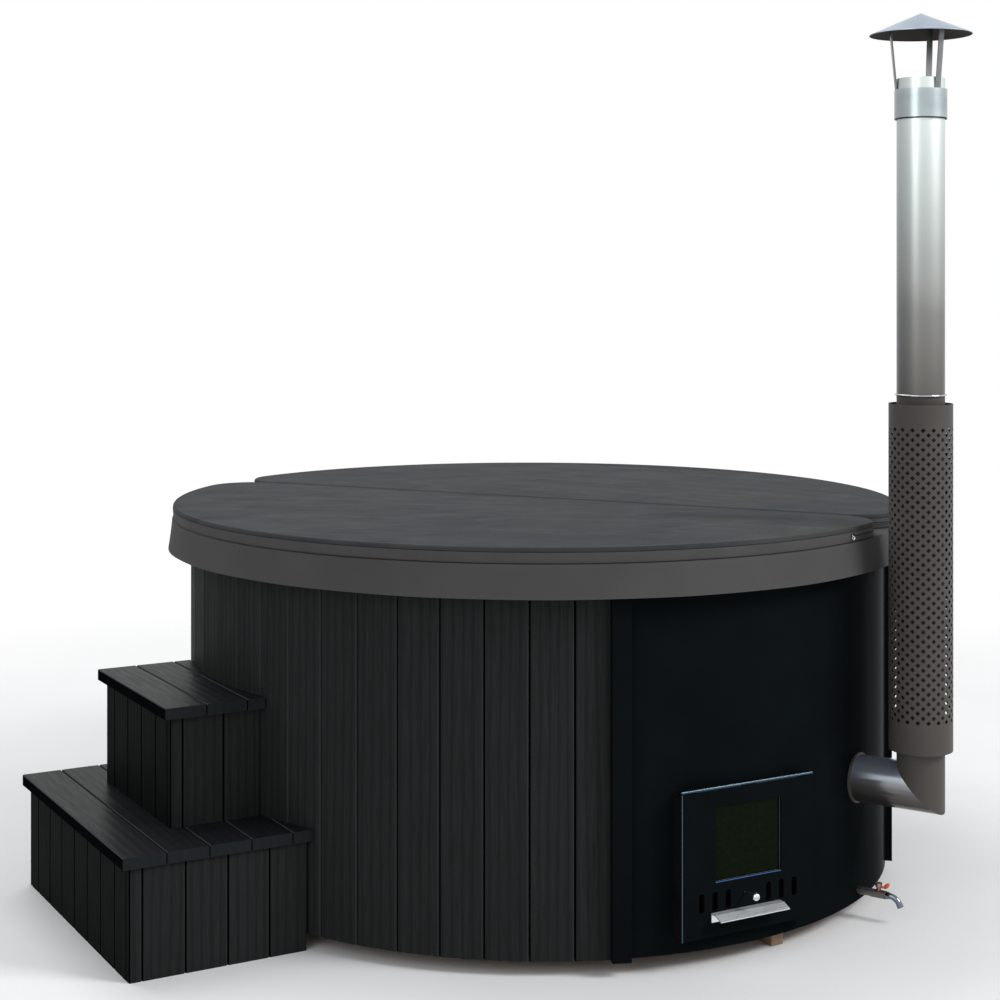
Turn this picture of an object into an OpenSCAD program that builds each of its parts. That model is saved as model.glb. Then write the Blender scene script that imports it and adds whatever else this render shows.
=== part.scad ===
// Wood-fired round hot tub: vertical board cladding, a glossy steel heater panel with the
// stove door, a guarded chimney with a rain cap, a folding insulated cover and two steps.
// Millimetres, +Z up. The origin is on the tub's axis at ground level, the stove door faces
// -Y and the steps stand at -X. Angles round the tub count from the door (-Y) towards +X.

/* [Tub] */
// Distance from the tub's axis to the outer face of a cladding board
tub_r = 975; // [960:1:980]
// Height of the cladding's lower end above the ground
tub_lift = 37; // [30:1:60]
// Height of the liner's rim above the cladding's lower end
tub_h = 921; // [880:1:1000]
// Thickness of a cladding board
board_t = 20; // [16:1:24]
// Boards that a full turn of cladding would take
boards_per_turn = 57; // [45:1:66]
// Depth of the bevel along each board's edges
board_bevel = 4; // [2:0.5:6]
// Gap between two boards
board_gap = 1.2; // [0.6:0.1:2.5]

/* [Liner and bench] */
// Distance from the cladding's outer face to the liner's inner face
wall_build = 115; // [108:1:130]
// Wall thickness of the liner
liner_t = 6; // [4:0.5:8]
// Overhang of the liner's rim past the cladding
rim_overhang = 31; // [26:1:36]
// Height of the bench seat above the liner's floor
bench_h = 360; // [300:5:420]
// Distance from the liner's wall to the bench's front edge
bench_depth = 380; // [320:5:410]
// Thickness of a bench board
bench_t = 28; // [22:1:36]

/* [Heater panel] */
// Distance from the cladding's outer face to the heater panel's
panel_out = 10; // [8.5:0.5:13]
// Thickness of the panel's sheet
panel_t = 3; // [2:0.5:4]
// Angle of the left edge bar's outer edge
panel_left = -20.2; // [-22:0.1:-19.8]
// Angle of the right edge bar's outer edge
panel_right = 51.5; // [50.5:0.1:53]
// Angle that an edge bar covers
edge_bar_angle = 2.65; // [2.2:0.05:3.2]
// How far an edge bar stands proud of the panel
edge_bar_proud = 18; // [10:1:20]

/* [Stove] */
// Width of the door plate
door_w = 390; // [384:2:400]
// Height of the door plate
door_h = 347; // [343:1:352]
// Height of the door plate's lower edge above the cladding's lower end
door_up = 43; // [41:1:46]
// Distance from the panel's front line to the door plate's face
door_stand = 22; // [19:1:26]
// Thickness of the door plate
door_t = 5; // [4:0.5:6]
// Width of the door's window
window_w = 195; // [160:5:205]
// Height of the door's window
window_h = 178; // [150:1:180]
// Height of the window's lower edge above the door plate's
window_up = 129; // [127:1:131]
// Width of the stove box
stove_w = 360; // [352:2:368]
// Distance from the stove's side to the mitre of the flue
side_leg_out = 65.6; // [60:0.1:75]
// Wall thickness of the stove box
stove_wall = 5; // [4:0.5:8]
// Length of the door handle
handle_len = 204; // [170:2:220]
// Travel of the air control
air_travel = 20; // [10:1:24]

/* [Chimney] */
// Outer diameter of the flue and chimney pipes
pipe_d = 120; // [112:1:124]
// Wall thickness of the pipes
pipe_t = 2; // [1.5:0.5:3]
// Angle of the flue stub and of the drain round the tub
flue_angle = 27.1; // [26:0.1:29]
// Distance from the cladding's outer face to the chimney's axis
chimney_out = 179; // [175:1:205]
// Height of the flue stub's axis above the cladding's lower end
flue_up = 321; // [316:1:326]
// Outer diameter of the heat guard
guard_d = 160; // [154:1:168]
// Height of the heat guard's lower edge above the flue stub's axis
guard_up = 97; // [85:1:110]
// Height of the heat guard
guard_h = 874; // [800:2:900]
// Length of pipe from the guard's top to the joint with the upper pipe
joint_up = 22; // [16:1:40]
// Length of the upper pipe
upper_pipe_h = 799; // [700:1:900]
// Diameter of the rain cap
cap_d = 255; // [230:1:260]
// Height of the rain cap's rim over the pipe's top
cap_lift = 112; // [90:1:130]
// Height of the rain cap's cone
cap_h = 54; // [45:1:65]

/* [Cover] */
// Overhang of the cover's rim past the cladding
cover_overhang = 50; // [46:1:56]
// Thickness of the cover above the liner's rim
cover_t = 60; // [52:1:76]
// Height of the plain band round the cover's rim
cover_band = 40.5; // [36:0.5:44]
// Height of the skirt below the band
skirt_h = 79.5; // [70:0.5:90]
// How far the skirt flares out at its lower edge
skirt_flare = 13.7; // [8:0.1:18]
// Angle of the fold line round the tub
fold_angle = 34.6; // [33:0.1:36]
// Thickness of the cover's sheet
cover_sheet = 3; // [2:0.5:4]

/* [Drain] */
// Height of the drain pipe's axis above the floor deck
drain_up = 12.7; // [12:0.1:15]
// Outer diameter of the drain pipe
drain_d = 19; // [17:0.5:20]
// Distance from the panel to the drain valve's stem
valve_out = 57; // [50:1:80]
// Bend radius of the drain spout
spout_bend = 30; // [26:1:40]
// Outer diameter of the drain spout
spout_d = 15.5; // [14:0.5:17]

/* [Steps] */
// Depth of the lower step's body
lower_depth = 452; // [430:2:500]
// Width of the lower step
lower_w = 830; // [760:10:880]
// Height of the lower tread above the ground
lower_top = 297; // [270:1:320]
// Depth of the upper step's body
upper_depth = 236; // [222:2:256]
// Width of the upper step
upper_w = 498; // [460:2:580]
// Height of the upper tread above the ground
upper_top = 596; // [560:1:620]
// Thickness of a tread board
tread_t = 28; // [22:1:34]
// Width that one board of the steps takes up
plank_pitch = 107; // [98:1:118]
// Gap between the steps and the tub's cladding
step_gap = 1.5; // [1.4:0.1:8]

/* [Hidden] */
$fn = 96;

// Overrun of every cut past the solid that it cuts
over = 2;
// Gap between pieces that move on each other or are put together loose
running_gap = 0.3;
// Gap of a shaft or pin in its bore
shaft_gap = 0.05;
// Larger than the whole tub, for half spaces
big = 4 * tub_r;

// Radii that follow the cladding's outer face
liner_r = tub_r - wall_build;
panel_r = tub_r + panel_out;
chimney_r = tub_r + chimney_out;
cover_r = tub_r + cover_overhang;

// Floor: deck, foam and the liner's bottom, from the cladding's lower end up
deck_t = 18;
floor_foam_t = 29;
deck_top = tub_lift + deck_t;
foam_top = deck_top + floor_foam_t;
floor_z = foam_top + liner_t;
rim_top = tub_lift + tub_h;

// Base timbers along Y; one of them runs on under the stove to the panel
timber_w = 36;
timber_x = 134;
timber_spacing = 330;
timber_count = 4;
left_timber_count = 2;
timber_inset = 125;
timber_front_inset = 30;
timber_long_end = tub_r - timber_front_inset;

// Cladding: joints count down from the narrower board beside the left edge bar
board_angle = 360 / boards_per_turn;
bar_lap_angle = 0.7;
narrow_board_angle = 5;
clad_first = panel_left + bar_lap_angle;
clad_joint = panel_left - narrow_board_angle;
clad_right = panel_right - bar_lap_angle;
clad_last = clad_right - 360;
least_board_share = 0.2;
clad_count = floor((clad_joint - clad_last) / board_angle - least_board_share);
wall_in = tub_r - board_t;

// Hoops behind the boards and the ring that carries the rim
hoop_t = 19.5;
hoop_h = 40;
low_hoop_h = 23;
hoop_stove_gap = 30;
top_ring_t = 18;
rim_lip_h = 26;
rim_r = tub_r + rim_overhang;
boards_top = rim_top - liner_t - top_ring_t;
foam_r = wall_in - hoop_t - shaft_gap;

// Heater panel: sheet, battens behind its edges and the edge bars over them
panel_lift = 4;
panel_low = tub_lift + panel_lift;
bar_top_gap = 3;
bar_top = rim_top - liner_t - rim_lip_h - bar_top_gap;
bar_r = panel_r + edge_bar_proud;
bar_leg_gap = 0.5;
batten_angle = 3;
batten_in = wall_in;
batten_r = panel_r - panel_t - running_gap;
board_corner_r = tub_r / cos(board_angle / 2);

// Door, frame and stove box, from the front backwards
door_face = -panel_r - door_stand;
door_back = door_face + door_t;
door_low = tub_lift + door_up;
door_top = door_low + door_h;
door_seal_gap = 2;
frame_front = door_back + door_seal_gap;
frame_inset = 4;
frame_depth = 60;
frame_side = 26;
frame_bar = 20;
frame_half = door_w / 2 - frame_inset;
frame_low = door_low + frame_inset;
frame_top = door_top - frame_inset;
frame_back = frame_front + frame_depth;
mouth_half = frame_half - frame_side;
mouth_low = frame_low + frame_bar;
mouth_top = frame_top - frame_bar;
skid_h = 10;
skid_w = 30;
skid_front_gap = 60;
flue_z = tub_lift + flue_up;
pipe_r = pipe_d / 2;
pipe_in = pipe_r - pipe_t;
stove_head = 22;
stove_half = stove_w / 2;
side_leg_inset = 40;
leg_x = stove_half + side_leg_out;
leg_y = -leg_x / tan(flue_angle);
stove_low = floor_z + skid_h;
stove_top = flue_z + pipe_r + stove_head;
stove_back = leg_y + pipe_r + side_leg_inset;
grate_lift = 35;
grate_t = 10;
grate_bar_w = 12;
grate_pitch = 28;
grate_bars = 11;
grate_gap = 12;
ledge_w = 16;
ledge_t = 6;
grate_half = stove_half - stove_wall - 2 * shaft_gap;
cut_gap = 0.5;
// Half side of the stove's square flue hole, as a share of the flue's bore radius
flue_hole_share = 0.7;
flue_hole = pipe_in * flue_hole_share;

// Door rope seal, window glass, retainer and their screws
rope_w = 8;
rope_side = 4;
window_low = door_low + window_up;
window_top = window_low + window_h;
glass_lap = 8;
glass_seal_t = 1.5;
glass_t = 4;
retainer_lap = 10;
retainer_side = 20;
retainer_t = 2;
glass_front = door_back + glass_seal_t;
retainer_front = glass_front + glass_t;
retainer_half = window_w / 2 + retainer_side;
screw_r = 2;
screw_head_r = 4;
screw_head_h = 2.2;
retainer_screw_in = 5;
retainer_screw_share = 0.1;

// Air slots in the door, the baffle behind them and the ball knob's rod
slot_w = 16;
slot_h = 46;
slot_drop = 46;
slot_first_share = 0.154;
slot_pitch_share = 0.1;
slot_first = door_w * slot_first_share;
slot_pitch = door_w * slot_pitch_share;
slot_count = 3;
slot_z = window_low - slot_drop;
rod_x = -11;
rod_rise = 10;
rod_z = slot_z + rod_rise;
rod_r = 3;
rod_hole_gap = 0.1;
knob_r = 9.5;
knob_rest = 23;
knob_out = air_travel + knob_rest;
baffle_gap = 0.6;
baffle_t = 2;
baffle_over = 6;
baffle_half = slot_first + (slot_count - 1) * slot_pitch + slot_w / 2 + baffle_over;

// Bent door handle: flange on the plate, a flat tray and its sloping lip
handle_x = -9;
handle_t = 3;
handle_flange = 22;
handle_flat = 18.5;
handle_slope_out = 22;
handle_slope_drop = 9.5;
handle_drop = 3;
handle_tilt = atan(handle_slope_drop / handle_slope_out);
handle_z = slot_z - slot_h / 2 - handle_drop;
handle_screw_share = 0.3;
handle_screw_r = 2.5;
handle_screw_down = 13;
nut_r = 4.5;
nut_t = 3;

// Hinge along the door's upper edge
barrel_r = 4;
hinge_pin_r = 2;
barrel_gap = 0.5;
knuckle_gap = 0.5;
hinge_y = door_face + barrel_r;
hinge_z = door_top + barrel_gap + barrel_r;
outer_knuckle = 45;
middle_knuckle = 40;
leaf_t = 4;
leaf_back_gap = 1;
pin_head = 2;
leaf_front = frame_front + leaf_back_gap;
leaf_back = -panel_r - leaf_back_gap;

// Flue: a leg out of the stove's side, mitred into the radial stub, mitred into the elbow
stub_start = -leg_y / cos(flue_angle);
leg_turn = 90 - flue_angle;
elbow_turn = 90;
stub_reach = 2 * pipe_d;
collar_w = 4;
collar_t = 5;
collar_in = 6;
elbow_up = 65;
guard_low = flue_z + guard_up;
guard_top = guard_low + guard_h;
elbow_top = guard_low + elbow_up;
joint_z = guard_top + joint_up;
pipe_top = joint_z + upper_pipe_h;
spigot_h = 30;
spigot_t = 1.3;
spigot_gap = 0.2;
spigot_step = 4;
band_wire = 2.4;
guard_t = 1.5;
spacer_low = 45;
spacer_high = 35;
spacer_w = 15;
spacer_h = 10;
third = 120;

// Rain cap on three flat struts between the pipe and the sleeve
strut_t = 3.6;
strut_w = 15;
strut_lap = 40;
strut_top_r = 79;
sleeve_drop = 28;
sleeve_h = 75;
sleeve_t = 1.2;
sleeve_in = norm([pipe_r + spigot_gap + strut_t, strut_w / 2]) + shaft_gap;
sleeve_top = pipe_top - sleeve_drop;
cap_rim = pipe_top + cap_lift;
cap_r = cap_d / 2;
cap_t = 1.5;

// Drain: strainer in the floor, radial pipe, ball valve with lever, curved spout
drain_z = deck_top + drain_up;
drain_r = drain_d / 2;
drain_wall = 2;
strainer_inset = 170;
strainer_at = liner_r - strainer_inset;
strainer_r = 24;
strainer_t = 2.5;
neck_r = 14;
neck_wall = 2;
neck_gap = 1;
strainer_hole_r = 3;
strainer_holes = 6;
strainer_hole_at = 7;
outlet_r = 6;
drain_back = 20;
pipe_start = strainer_at - drain_back;
valve_r = panel_r + valve_out;
valve_half = 20;
valve_body_r = 10.5;
valve_boss_r = 6;
valve_boss_h = 16.5;
valve_ball_r = 7.5;
valve_ball_gap = 0.5;
valve_bore_r = 4.5;
stem_r = 3;
lever_hub_r = 7;
lever_t = 3;
lever_w = 12;
lever_end_w = 9;
lever_root = 11;
lever_len = 21.5;
lever_tilt = 33;
stem_nut_r = 9;
stem_nut_h = 8.7;
spout_run = 8;
spout_turn = 62;
spout_tip = 10;
spout_collar_t = 1.25;
spout_lip_t = 0.55;
spout_wall = 1.75;
spout_step = 0.2;
spout_r = spout_d / 2;
spout_bore_r = spout_r - spout_wall - spout_step;

// Cover: two half discs of foam, each in a sheet with a flared skirt
cover_low = rim_top + running_gap;
cover_top = cover_low + cover_t;
band_low = cover_top - cover_band;
skirt_low = band_low - skirt_h;
skirt_t = 1.5;
skirt_seat = 0.3;
edge_round = 8;
round_steps = 4;
fold_gap = 1;
skirt_fold_gap = 3;
back_pull_turn = 7;
front_pull_turn = 14;
front_pull_rise = 23;
pull_w = 8;
pull_h = 8;
pull_t = 4;
pull_ring_r = 6;
pull_wire = 1.2;
pull_gap = 0.9;

// Steps: boards over a timber frame, cut to the tub's round
step_cut_r = tub_r + step_gap;
lower_half = lower_w / 2;
upper_half = upper_w / 2;
step_board_t = 20;
step_bevel = 3;
step_board_gap = 1.2;
step_least_board = 12;
step_first = 31.5;
step_side_gap = 1;
tread_gap = 3;
tread_bevel = 2;
tread_front = 18;
lower_tread_side = 11;
upper_tread_side = 18;
tread_end_gap = 3;
post_w = 40;
post_gap = 2;
lower_right = -sqrt(pow(step_cut_r, 2) - pow(lower_half - step_board_t, 2)) - step_side_gap;
lower_left = lower_right - lower_depth;
lower_body_top = lower_top - tread_t;
upper_right = -sqrt(pow(step_cut_r, 2) - pow(upper_half - step_board_t, 2)) - step_side_gap;
upper_left = upper_right - upper_depth;
upper_body_top = upper_top - tread_t;

// Stove fence inside the liner
fence_gap = 35;
fence_y = stove_back + fence_gap;
slat_t = 20;
slat_w = 90;
slat_pitch = 104;
slat_top_gap = 78;
rail_h = 60;
rail_low_up = 90;
rail_top_down = 60;
rail_end_gap = 4;
fence_half = sqrt(pow(liner_r, 2) - pow(fence_y - slat_t, 2)) - rail_end_gap;
slat_side = floor((fence_half - slat_w / 2) / slat_pitch);
slat_top = rim_top - slat_top_gap;

// Bench: flat boards in segments round the back of the tub, from fence to fence
bench_segments = 7;
bench_fence_gap = 2.8;
bench_start = acos((-fence_y - slat_t - bench_fence_gap) / liner_r);
bench_segment_angle = (360 - 2 * bench_start) / bench_segments;
bench_rows = 3;
bench_gap = 8;
bench_leg_t = 30;
bench_leg_setback = 40;
bench_leg_turn = 3;
bench_wall_gap = 4;
bench_leg_gap = 1;
bench_inner = liner_r - bench_depth;
bench_outer = liner_r * cos(bench_segment_angle / 2) - bench_wall_gap;
bench_board_w = (bench_outer - bench_inner - (bench_rows - 1) * bench_gap) / bench_rows;
bench_bottom = floor_z + bench_h - bench_t;

// Colours as the photograph shows them
wood_black = [0.16, 0.17, 0.17];
tread_black = [0.2, 0.22, 0.22];
panel_black = [0.06, 0.08, 0.09];
bare_timber = [0.42, 0.34, 0.28];
foam_cream = [0.9, 0.87, 0.74];
liner_grey = [0.55, 0.57, 0.58];
bench_wood = [0.68, 0.52, 0.36];
steel_grey = [0.36, 0.34, 0.32];
steel_bright = [0.76, 0.79, 0.8];
iron_dark = [0.13, 0.13, 0.13];
glass_green = [0.1, 0.14, 0.08, 0.7];
rope_grey = [0.45, 0.44, 0.42];
lever_orange = [0.82, 0.31, 0.12];
vinyl_top = [0.33, 0.35, 0.36];
vinyl_side = [0.28, 0.28, 0.28];

// Underside of the rain cap's cone at a distance from the chimney's axis
function cap_under(r) = cap_rim + cap_h * (1 - r / cap_r) - cap_t - spigot_gap;

// Part of a ring between two angles
module sector(r_in, r_out, low, high, from_angle, to_angle) {
  rotate([0, 0, from_angle - 90])
    rotate_extrude(angle = to_angle - from_angle)
      translate([r_in, low]) square([r_out - r_in, high - low]);
}

// Whole ring
module ring(r_in, r_out, low, high) {
  translate([0, 0, low]) difference() {
    cylinder(r = r_out, h = high - low);
    translate([0, 0, -over]) cylinder(r = r_in, h = high - low + 2 * over);
  }
}

// Tube along +Z from the origin
module tube(r_out, r_in, length) {
  difference() {
    cylinder(r = r_out, h = length);
    translate([0, 0, -over]) cylinder(r = r_in, h = length + 2 * over);
  }
}

// Block between two opposite corners
module block(low, high) {
  translate(low) cube(high - low);
}

// Places its children along the radial line of the flue, +X pointing outwards
module on_flue_line(distance, height) {
  rotate([0, 0, flue_angle - 90]) translate([distance, 0, height]) children();
}

// Round bore along the radial line of the flue
module radial_bore(radius, from_r, to_r, height) {
  on_flue_line(from_r, height) rotate([0, 90, 0]) cylinder(r = radius, h = to_r - from_r);
}

// Half space in front of the local YZ plane
module half_space(size) {
  translate([0, -size / 2, -size / 2]) cube(size);
}

// Outline extruded along +X, its points being Y and Z
module along_x(length) {
  rotate([90, 0, 90]) linear_extrude(length) children();
}

module base_timbers() {
  color(bare_timber) {
    for (i = [0 : timber_count - 1]) {
      x = timber_x + (i - left_timber_count) * timber_spacing;
      half = sqrt(pow(tub_r - timber_inset, 2) - pow(x, 2));
      front = i == left_timber_count ? timber_long_end : half;
      block([x - timber_w / 2, -front, 0], [x + timber_w / 2, half, tub_lift]);
    }
    for (i = [0 : timber_count - 2]) {
      x = timber_x + (i - left_timber_count) * timber_spacing + timber_w / 2;
      block([x + running_gap, -timber_w / 2, 0],
        [x + timber_spacing - timber_w - running_gap, timber_w / 2, tub_lift]);
    }
  }
}

module floor_deck() {
  color(bare_timber) translate([0, 0, tub_lift]) cylinder(r = wall_in - shaft_gap, h = deck_t);
}

// Stove box's outside with a gap all round, long enough to cut every wall it passes
module stove_passage(gap) {
  block([-stove_half - gap, -big, stove_low - gap],
    [stove_half + gap, stove_back + gap, stove_top + gap]);
}

module insulation() {
  color(foam_cream) {
    difference() {
      translate([0, 0, deck_top]) cylinder(r = foam_r, h = floor_foam_t);
      radial_bore(drain_r + shaft_gap, pipe_start - over, tub_r, drain_z);
      on_flue_line(strainer_at, drain_z) cylinder(r = neck_r + neck_gap, h = floor_foam_t);
    }
    difference() {
      ring(liner_r + liner_t, foam_r, foam_top, boards_top);
      stove_passage(neck_gap);
      radial_bore(pipe_r + neck_gap, liner_r - liner_t, tub_r, flue_z);
    }
  }
}

module wall_hoops() {
  color(bare_timber) {
    difference() {
      ring(foam_r + shaft_gap, wall_in - shaft_gap, deck_top, deck_top + low_hoop_h);
      on_flue_line(foam_r - over, drain_z)
        translate([0, -neck_r, -drain_z]) cube([board_t * 2, neck_r * 2, rim_top]);
    }
    ring(foam_r + shaft_gap, wall_in - shaft_gap, stove_top + hoop_stove_gap,
      stove_top + hoop_stove_gap + hoop_h);
    ring(foam_r + shaft_gap, wall_in - shaft_gap, boards_top - hoop_h, boards_top);
  }
}

// Flat cladding board between two angles, bevelled along both outer edges
module wall_board(from_angle, to_angle) {
  half = (to_angle - from_angle) / 2;
  wide = tub_r * tan(half) - board_gap / 2;
  narrow = wall_in * tan(half) - board_gap / 2;
  shoulder = wide - (wide - narrow) * board_bevel / board_t;
  rotate([0, 0, (from_angle + to_angle) / 2 - 180])
    translate([0, 0, tub_lift]) linear_extrude(boards_top - tub_lift)
      polygon([
        [-narrow, wall_in], [narrow, wall_in], [shoulder, tub_r - board_bevel],
        [wide - board_bevel, tub_r], [-wide + board_bevel, tub_r],
        [-shoulder, tub_r - board_bevel]
      ]);
}

module cladding_boards() {
  color(wood_black) {
    wall_board(clad_joint, clad_first);
    for (i = [0 : clad_count - 1])
      wall_board(clad_joint - (i + 1) * board_angle, clad_joint - i * board_angle);
    wall_board(clad_last, clad_joint - clad_count * board_angle);
  }
}

module top_ring() {
  color(bare_timber)
    ring(liner_r + liner_t + shaft_gap, rim_r - liner_t - shaft_gap,
      boards_top, boards_top + top_ring_t);
}

module liner() {
  color(liner_grey) difference() {
    rotate_extrude() polygon([
      [0, foam_top], [liner_r + liner_t, foam_top], [liner_r + liner_t, rim_top - liner_t],
      [rim_r - liner_t, rim_top - liner_t], [rim_r - liner_t, rim_top - liner_t - rim_lip_h],
      [rim_r, rim_top - liner_t - rim_lip_h], [rim_r, rim_top], [liner_r, rim_top],
      [liner_r, floor_z], [0, floor_z]
    ]);
    stove_passage(cut_gap);
    radial_bore(pipe_r + cut_gap, liner_r - pipe_d, tub_r, flue_z);
    on_flue_line(strainer_at, foam_top - over) cylinder(r = neck_r + shaft_gap, h = liner_t + 2 * over);
  }
}

module bench_boards() {
  half = bench_segment_angle / 2;
  color(bench_wood) for (i = [0 : bench_segments - 1], row = [0 : bench_rows - 1]) {
    near = bench_inner + row * (bench_board_w + bench_gap);
    far = near + bench_board_w;
    rotate([0, 0, bench_start + (i + 1 / 2) * bench_segment_angle - 180])
      translate([0, 0, bench_bottom]) linear_extrude(bench_t)
        polygon([
          [-near * tan(half) + bench_gap / 2, near], [near * tan(half) - bench_gap / 2, near],
          [far * tan(half) - bench_gap / 2, far], [-far * tan(half) + bench_gap / 2, far]
        ]);
  }
}

module bench_supports() {
  color(bench_wood) for (i = [0 : bench_segments]) {
    turn = i == 0 ? bench_leg_turn : i == bench_segments ? -bench_leg_turn : 0;
    rotate([0, 0, bench_start + i * bench_segment_angle + turn - 90])
      block([bench_inner + bench_leg_setback, -bench_leg_t / 2, floor_z],
        [liner_r - bench_leg_gap, bench_leg_t / 2, bench_bottom]);
  }
}

// Upright slats in front of the stove, screwed to two rails
module stove_fence() {
  color(bench_wood) {
    for (i = [-slat_side : slat_side])
      block([i * slat_pitch - slat_w / 2, fence_y, floor_z],
        [i * slat_pitch + slat_w / 2, fence_y + slat_t, slat_top]);
    for (low = [floor_z + rail_low_up, slat_top - rail_top_down - rail_h])
      block([-fence_half, fence_y - slat_t, low], [fence_half, fence_y - shaft_gap, low + rail_h]);
  }
}

module heater_panel() {
  color(panel_black) difference() {
    sector(panel_r - panel_t, panel_r, panel_low, boards_top, clad_first, clad_right);
    block([-frame_half - cut_gap, -big, frame_low - cut_gap],
      [frame_half + cut_gap, 0, frame_top + cut_gap]);
    radial_bore(pipe_r + collar_w + shaft_gap, wall_in, bar_r, flue_z);
    radial_bore(drain_r + shaft_gap, wall_in, bar_r, drain_z);
  }
}

module panel_battens() {
  color(bare_timber) {
    sector(batten_in, batten_r, panel_low, boards_top,
      clad_first + shaft_gap, clad_first + batten_angle);
    sector(batten_in, batten_r, panel_low, boards_top,
      clad_right - batten_angle, clad_right - shaft_gap);
  }
}

// Bar over the panel's edge, its leg closing the step down to the boards on one side
module panel_bar(from_angle, to_angle, cut_from, cut_to) {
  difference() {
    sector(board_corner_r + bar_leg_gap, bar_r, tub_lift, bar_top, from_angle, to_angle);
    sector(wall_in, panel_r, tub_lift - over, bar_top + over, cut_from, cut_to);
  }
}

module panel_bars() {
  color(panel_black) {
    panel_bar(panel_left, panel_left + edge_bar_angle, clad_first, panel_left + 2 * edge_bar_angle);
    panel_bar(panel_right - edge_bar_angle, panel_right, panel_right - 2 * edge_bar_angle, clad_right);
  }
}

// Stove box of welded plates: front with the mouth, sides, back, floor and roof
module stove_box() {
  side_in = stove_half - stove_wall;
  plate_front = frame_back + stove_wall + shaft_gap;
  plate_back = stove_back - stove_wall - shaft_gap;
  plate_low = stove_low + stove_wall;
  plate_top = stove_top - stove_wall;
  plate_mouth = max(mouth_low, plate_low);
  jamb_in = mouth_half + shaft_gap;
  side_low = plate_low + shaft_gap;
  side_top = plate_top - shaft_gap;
  color(iron_dark) {
    // Front: two jambs, a sill and a lintel round the mouth
    for (side = [-1, 1])
      block([side < 0 ? -stove_half : jamb_in, frame_back, stove_low],
        [side < 0 ? -jamb_in : stove_half, frame_back + stove_wall, stove_top]);
    for (span = [[stove_low, plate_mouth], [mouth_top, stove_top]])
      block([-mouth_half, frame_back, span[0]], [mouth_half, frame_back + stove_wall, span[1]]);
    block([-stove_half, stove_back - stove_wall, stove_low], [stove_half, stove_back, stove_top]);
    for (low = [stove_low, plate_top])
      block([-stove_half, plate_front, low], [stove_half, plate_back, low + stove_wall]);
    block([-stove_half, plate_front, side_low], [-side_in, plate_back, side_top]);
    // Flue side: four plates round a square hole
    for (span = [[plate_front, leg_y - flue_hole - shaft_gap],
      [leg_y + flue_hole + shaft_gap, plate_back]])
      block([side_in, span[0], side_low], [stove_half, span[1], side_top]);
    for (span = [[side_low, flue_z - flue_hole], [flue_z + flue_hole, side_top]])
      block([side_in, leg_y - flue_hole, span[0]], [stove_half, leg_y + flue_hole, span[1]]);
    for (side = [-1, 1]) {
      ledge = side * (side_in - shaft_gap) - (side > 0 ? ledge_w : 0);
      block([ledge, plate_front + shaft_gap, stove_low + grate_lift - ledge_t],
        [ledge + ledge_w, plate_back - shaft_gap, stove_low + grate_lift]);
      skid = side * (stove_half - skid_w) - skid_w / 2;
      block([skid, -liner_r + skid_front_gap, floor_z], [skid + skid_w, stove_back, stove_low - shaft_gap]);
    }
  }
}

module stove_grate() {
  low = stove_low + grate_lift;
  front = frame_back + grate_gap;
  back = stove_back - stove_wall - grate_gap;
  color(iron_dark) union() {
    for (i = [0 : grate_bars - 1]) {
      x = (i - (grate_bars - 1) / 2) * grate_pitch - grate_bar_w / 2;
      block([x, front, low], [x + grate_bar_w, back, low + grate_t]);
    }
    for (y = [front, back - grate_bar_w])
      block([-grate_half, y, low], [grate_half, y + grate_bar_w, low + grate_t]);
  }
}

module door_frame() {
  color(iron_dark) difference() {
    block([-frame_half, frame_front, frame_low], [frame_half, frame_back, frame_top]);
    block([-mouth_half, frame_front - over, mouth_low], [mouth_half, frame_back + over, mouth_top]);
  }
}

// One hinge knuckle between two places along X
module knuckle(from_x, to_x) {
  translate([from_x, hinge_y, hinge_z]) rotate([0, 90, 0]) cylinder(r = barrel_r, h = to_x - from_x);
}

module hinge_bore(radius) {
  translate([-door_w, hinge_y, hinge_z]) rotate([0, 90, 0]) cylinder(r = radius, h = 2 * door_w);
}

// Frame knuckles at both ends and in the middle, each on a bracket that stands on the frame
module hinge_frame_leaf() {
  spans = [[-door_w / 2, -door_w / 2 + outer_knuckle], [-middle_knuckle / 2, middle_knuckle / 2],
    [door_w / 2 - outer_knuckle, door_w / 2]];
  color(steel_bright) for (span = spans) difference() {
    union() {
      knuckle(span[0], span[1]);
      block([span[0], hinge_y, hinge_z - leaf_t / 2],
        [span[1], leaf_front + leaf_t, hinge_z + leaf_t / 2]);
      block([max(span[0], -frame_half), leaf_front, frame_top],
        [min(span[1], frame_half), leaf_back, hinge_z + leaf_t / 2]);
    }
    hinge_bore(hinge_pin_r + shaft_gap);
  }
}

module hinge_pin() {
  color(steel_bright) translate([-door_w / 2 - pin_head, hinge_y, hinge_z])
    rotate([0, 90, 0]) cylinder(r = hinge_pin_r, h = door_w + 2 * pin_head);
}

module hinge_door_leaf() {
  inner = middle_knuckle / 2 + knuckle_gap;
  outer = door_w / 2 - outer_knuckle - knuckle_gap;
  color(steel_bright) for (span = [[-outer, -inner], [inner, outer]]) difference() {
    union() {
      knuckle(span[0], span[1]);
      block([span[0], hinge_y - leaf_t / 2, door_top], [span[1], door_back, hinge_z]);
    }
    hinge_bore(hinge_pin_r + shaft_gap);
  }
}

// Air slot with round ends, cut through the plate
module air_slot(x) {
  run = (slot_h - slot_w) / 2;
  for (side = [-1, 1])
    translate([x, door_face - over, slot_z + side * run])
      rotate([-90, 0, 0]) cylinder(r = slot_w / 2, h = door_t + 2 * over);
  block([x - slot_w / 2, door_face - over, slot_z - run],
    [x + slot_w / 2, door_back + over, slot_z + run]);
}

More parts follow.
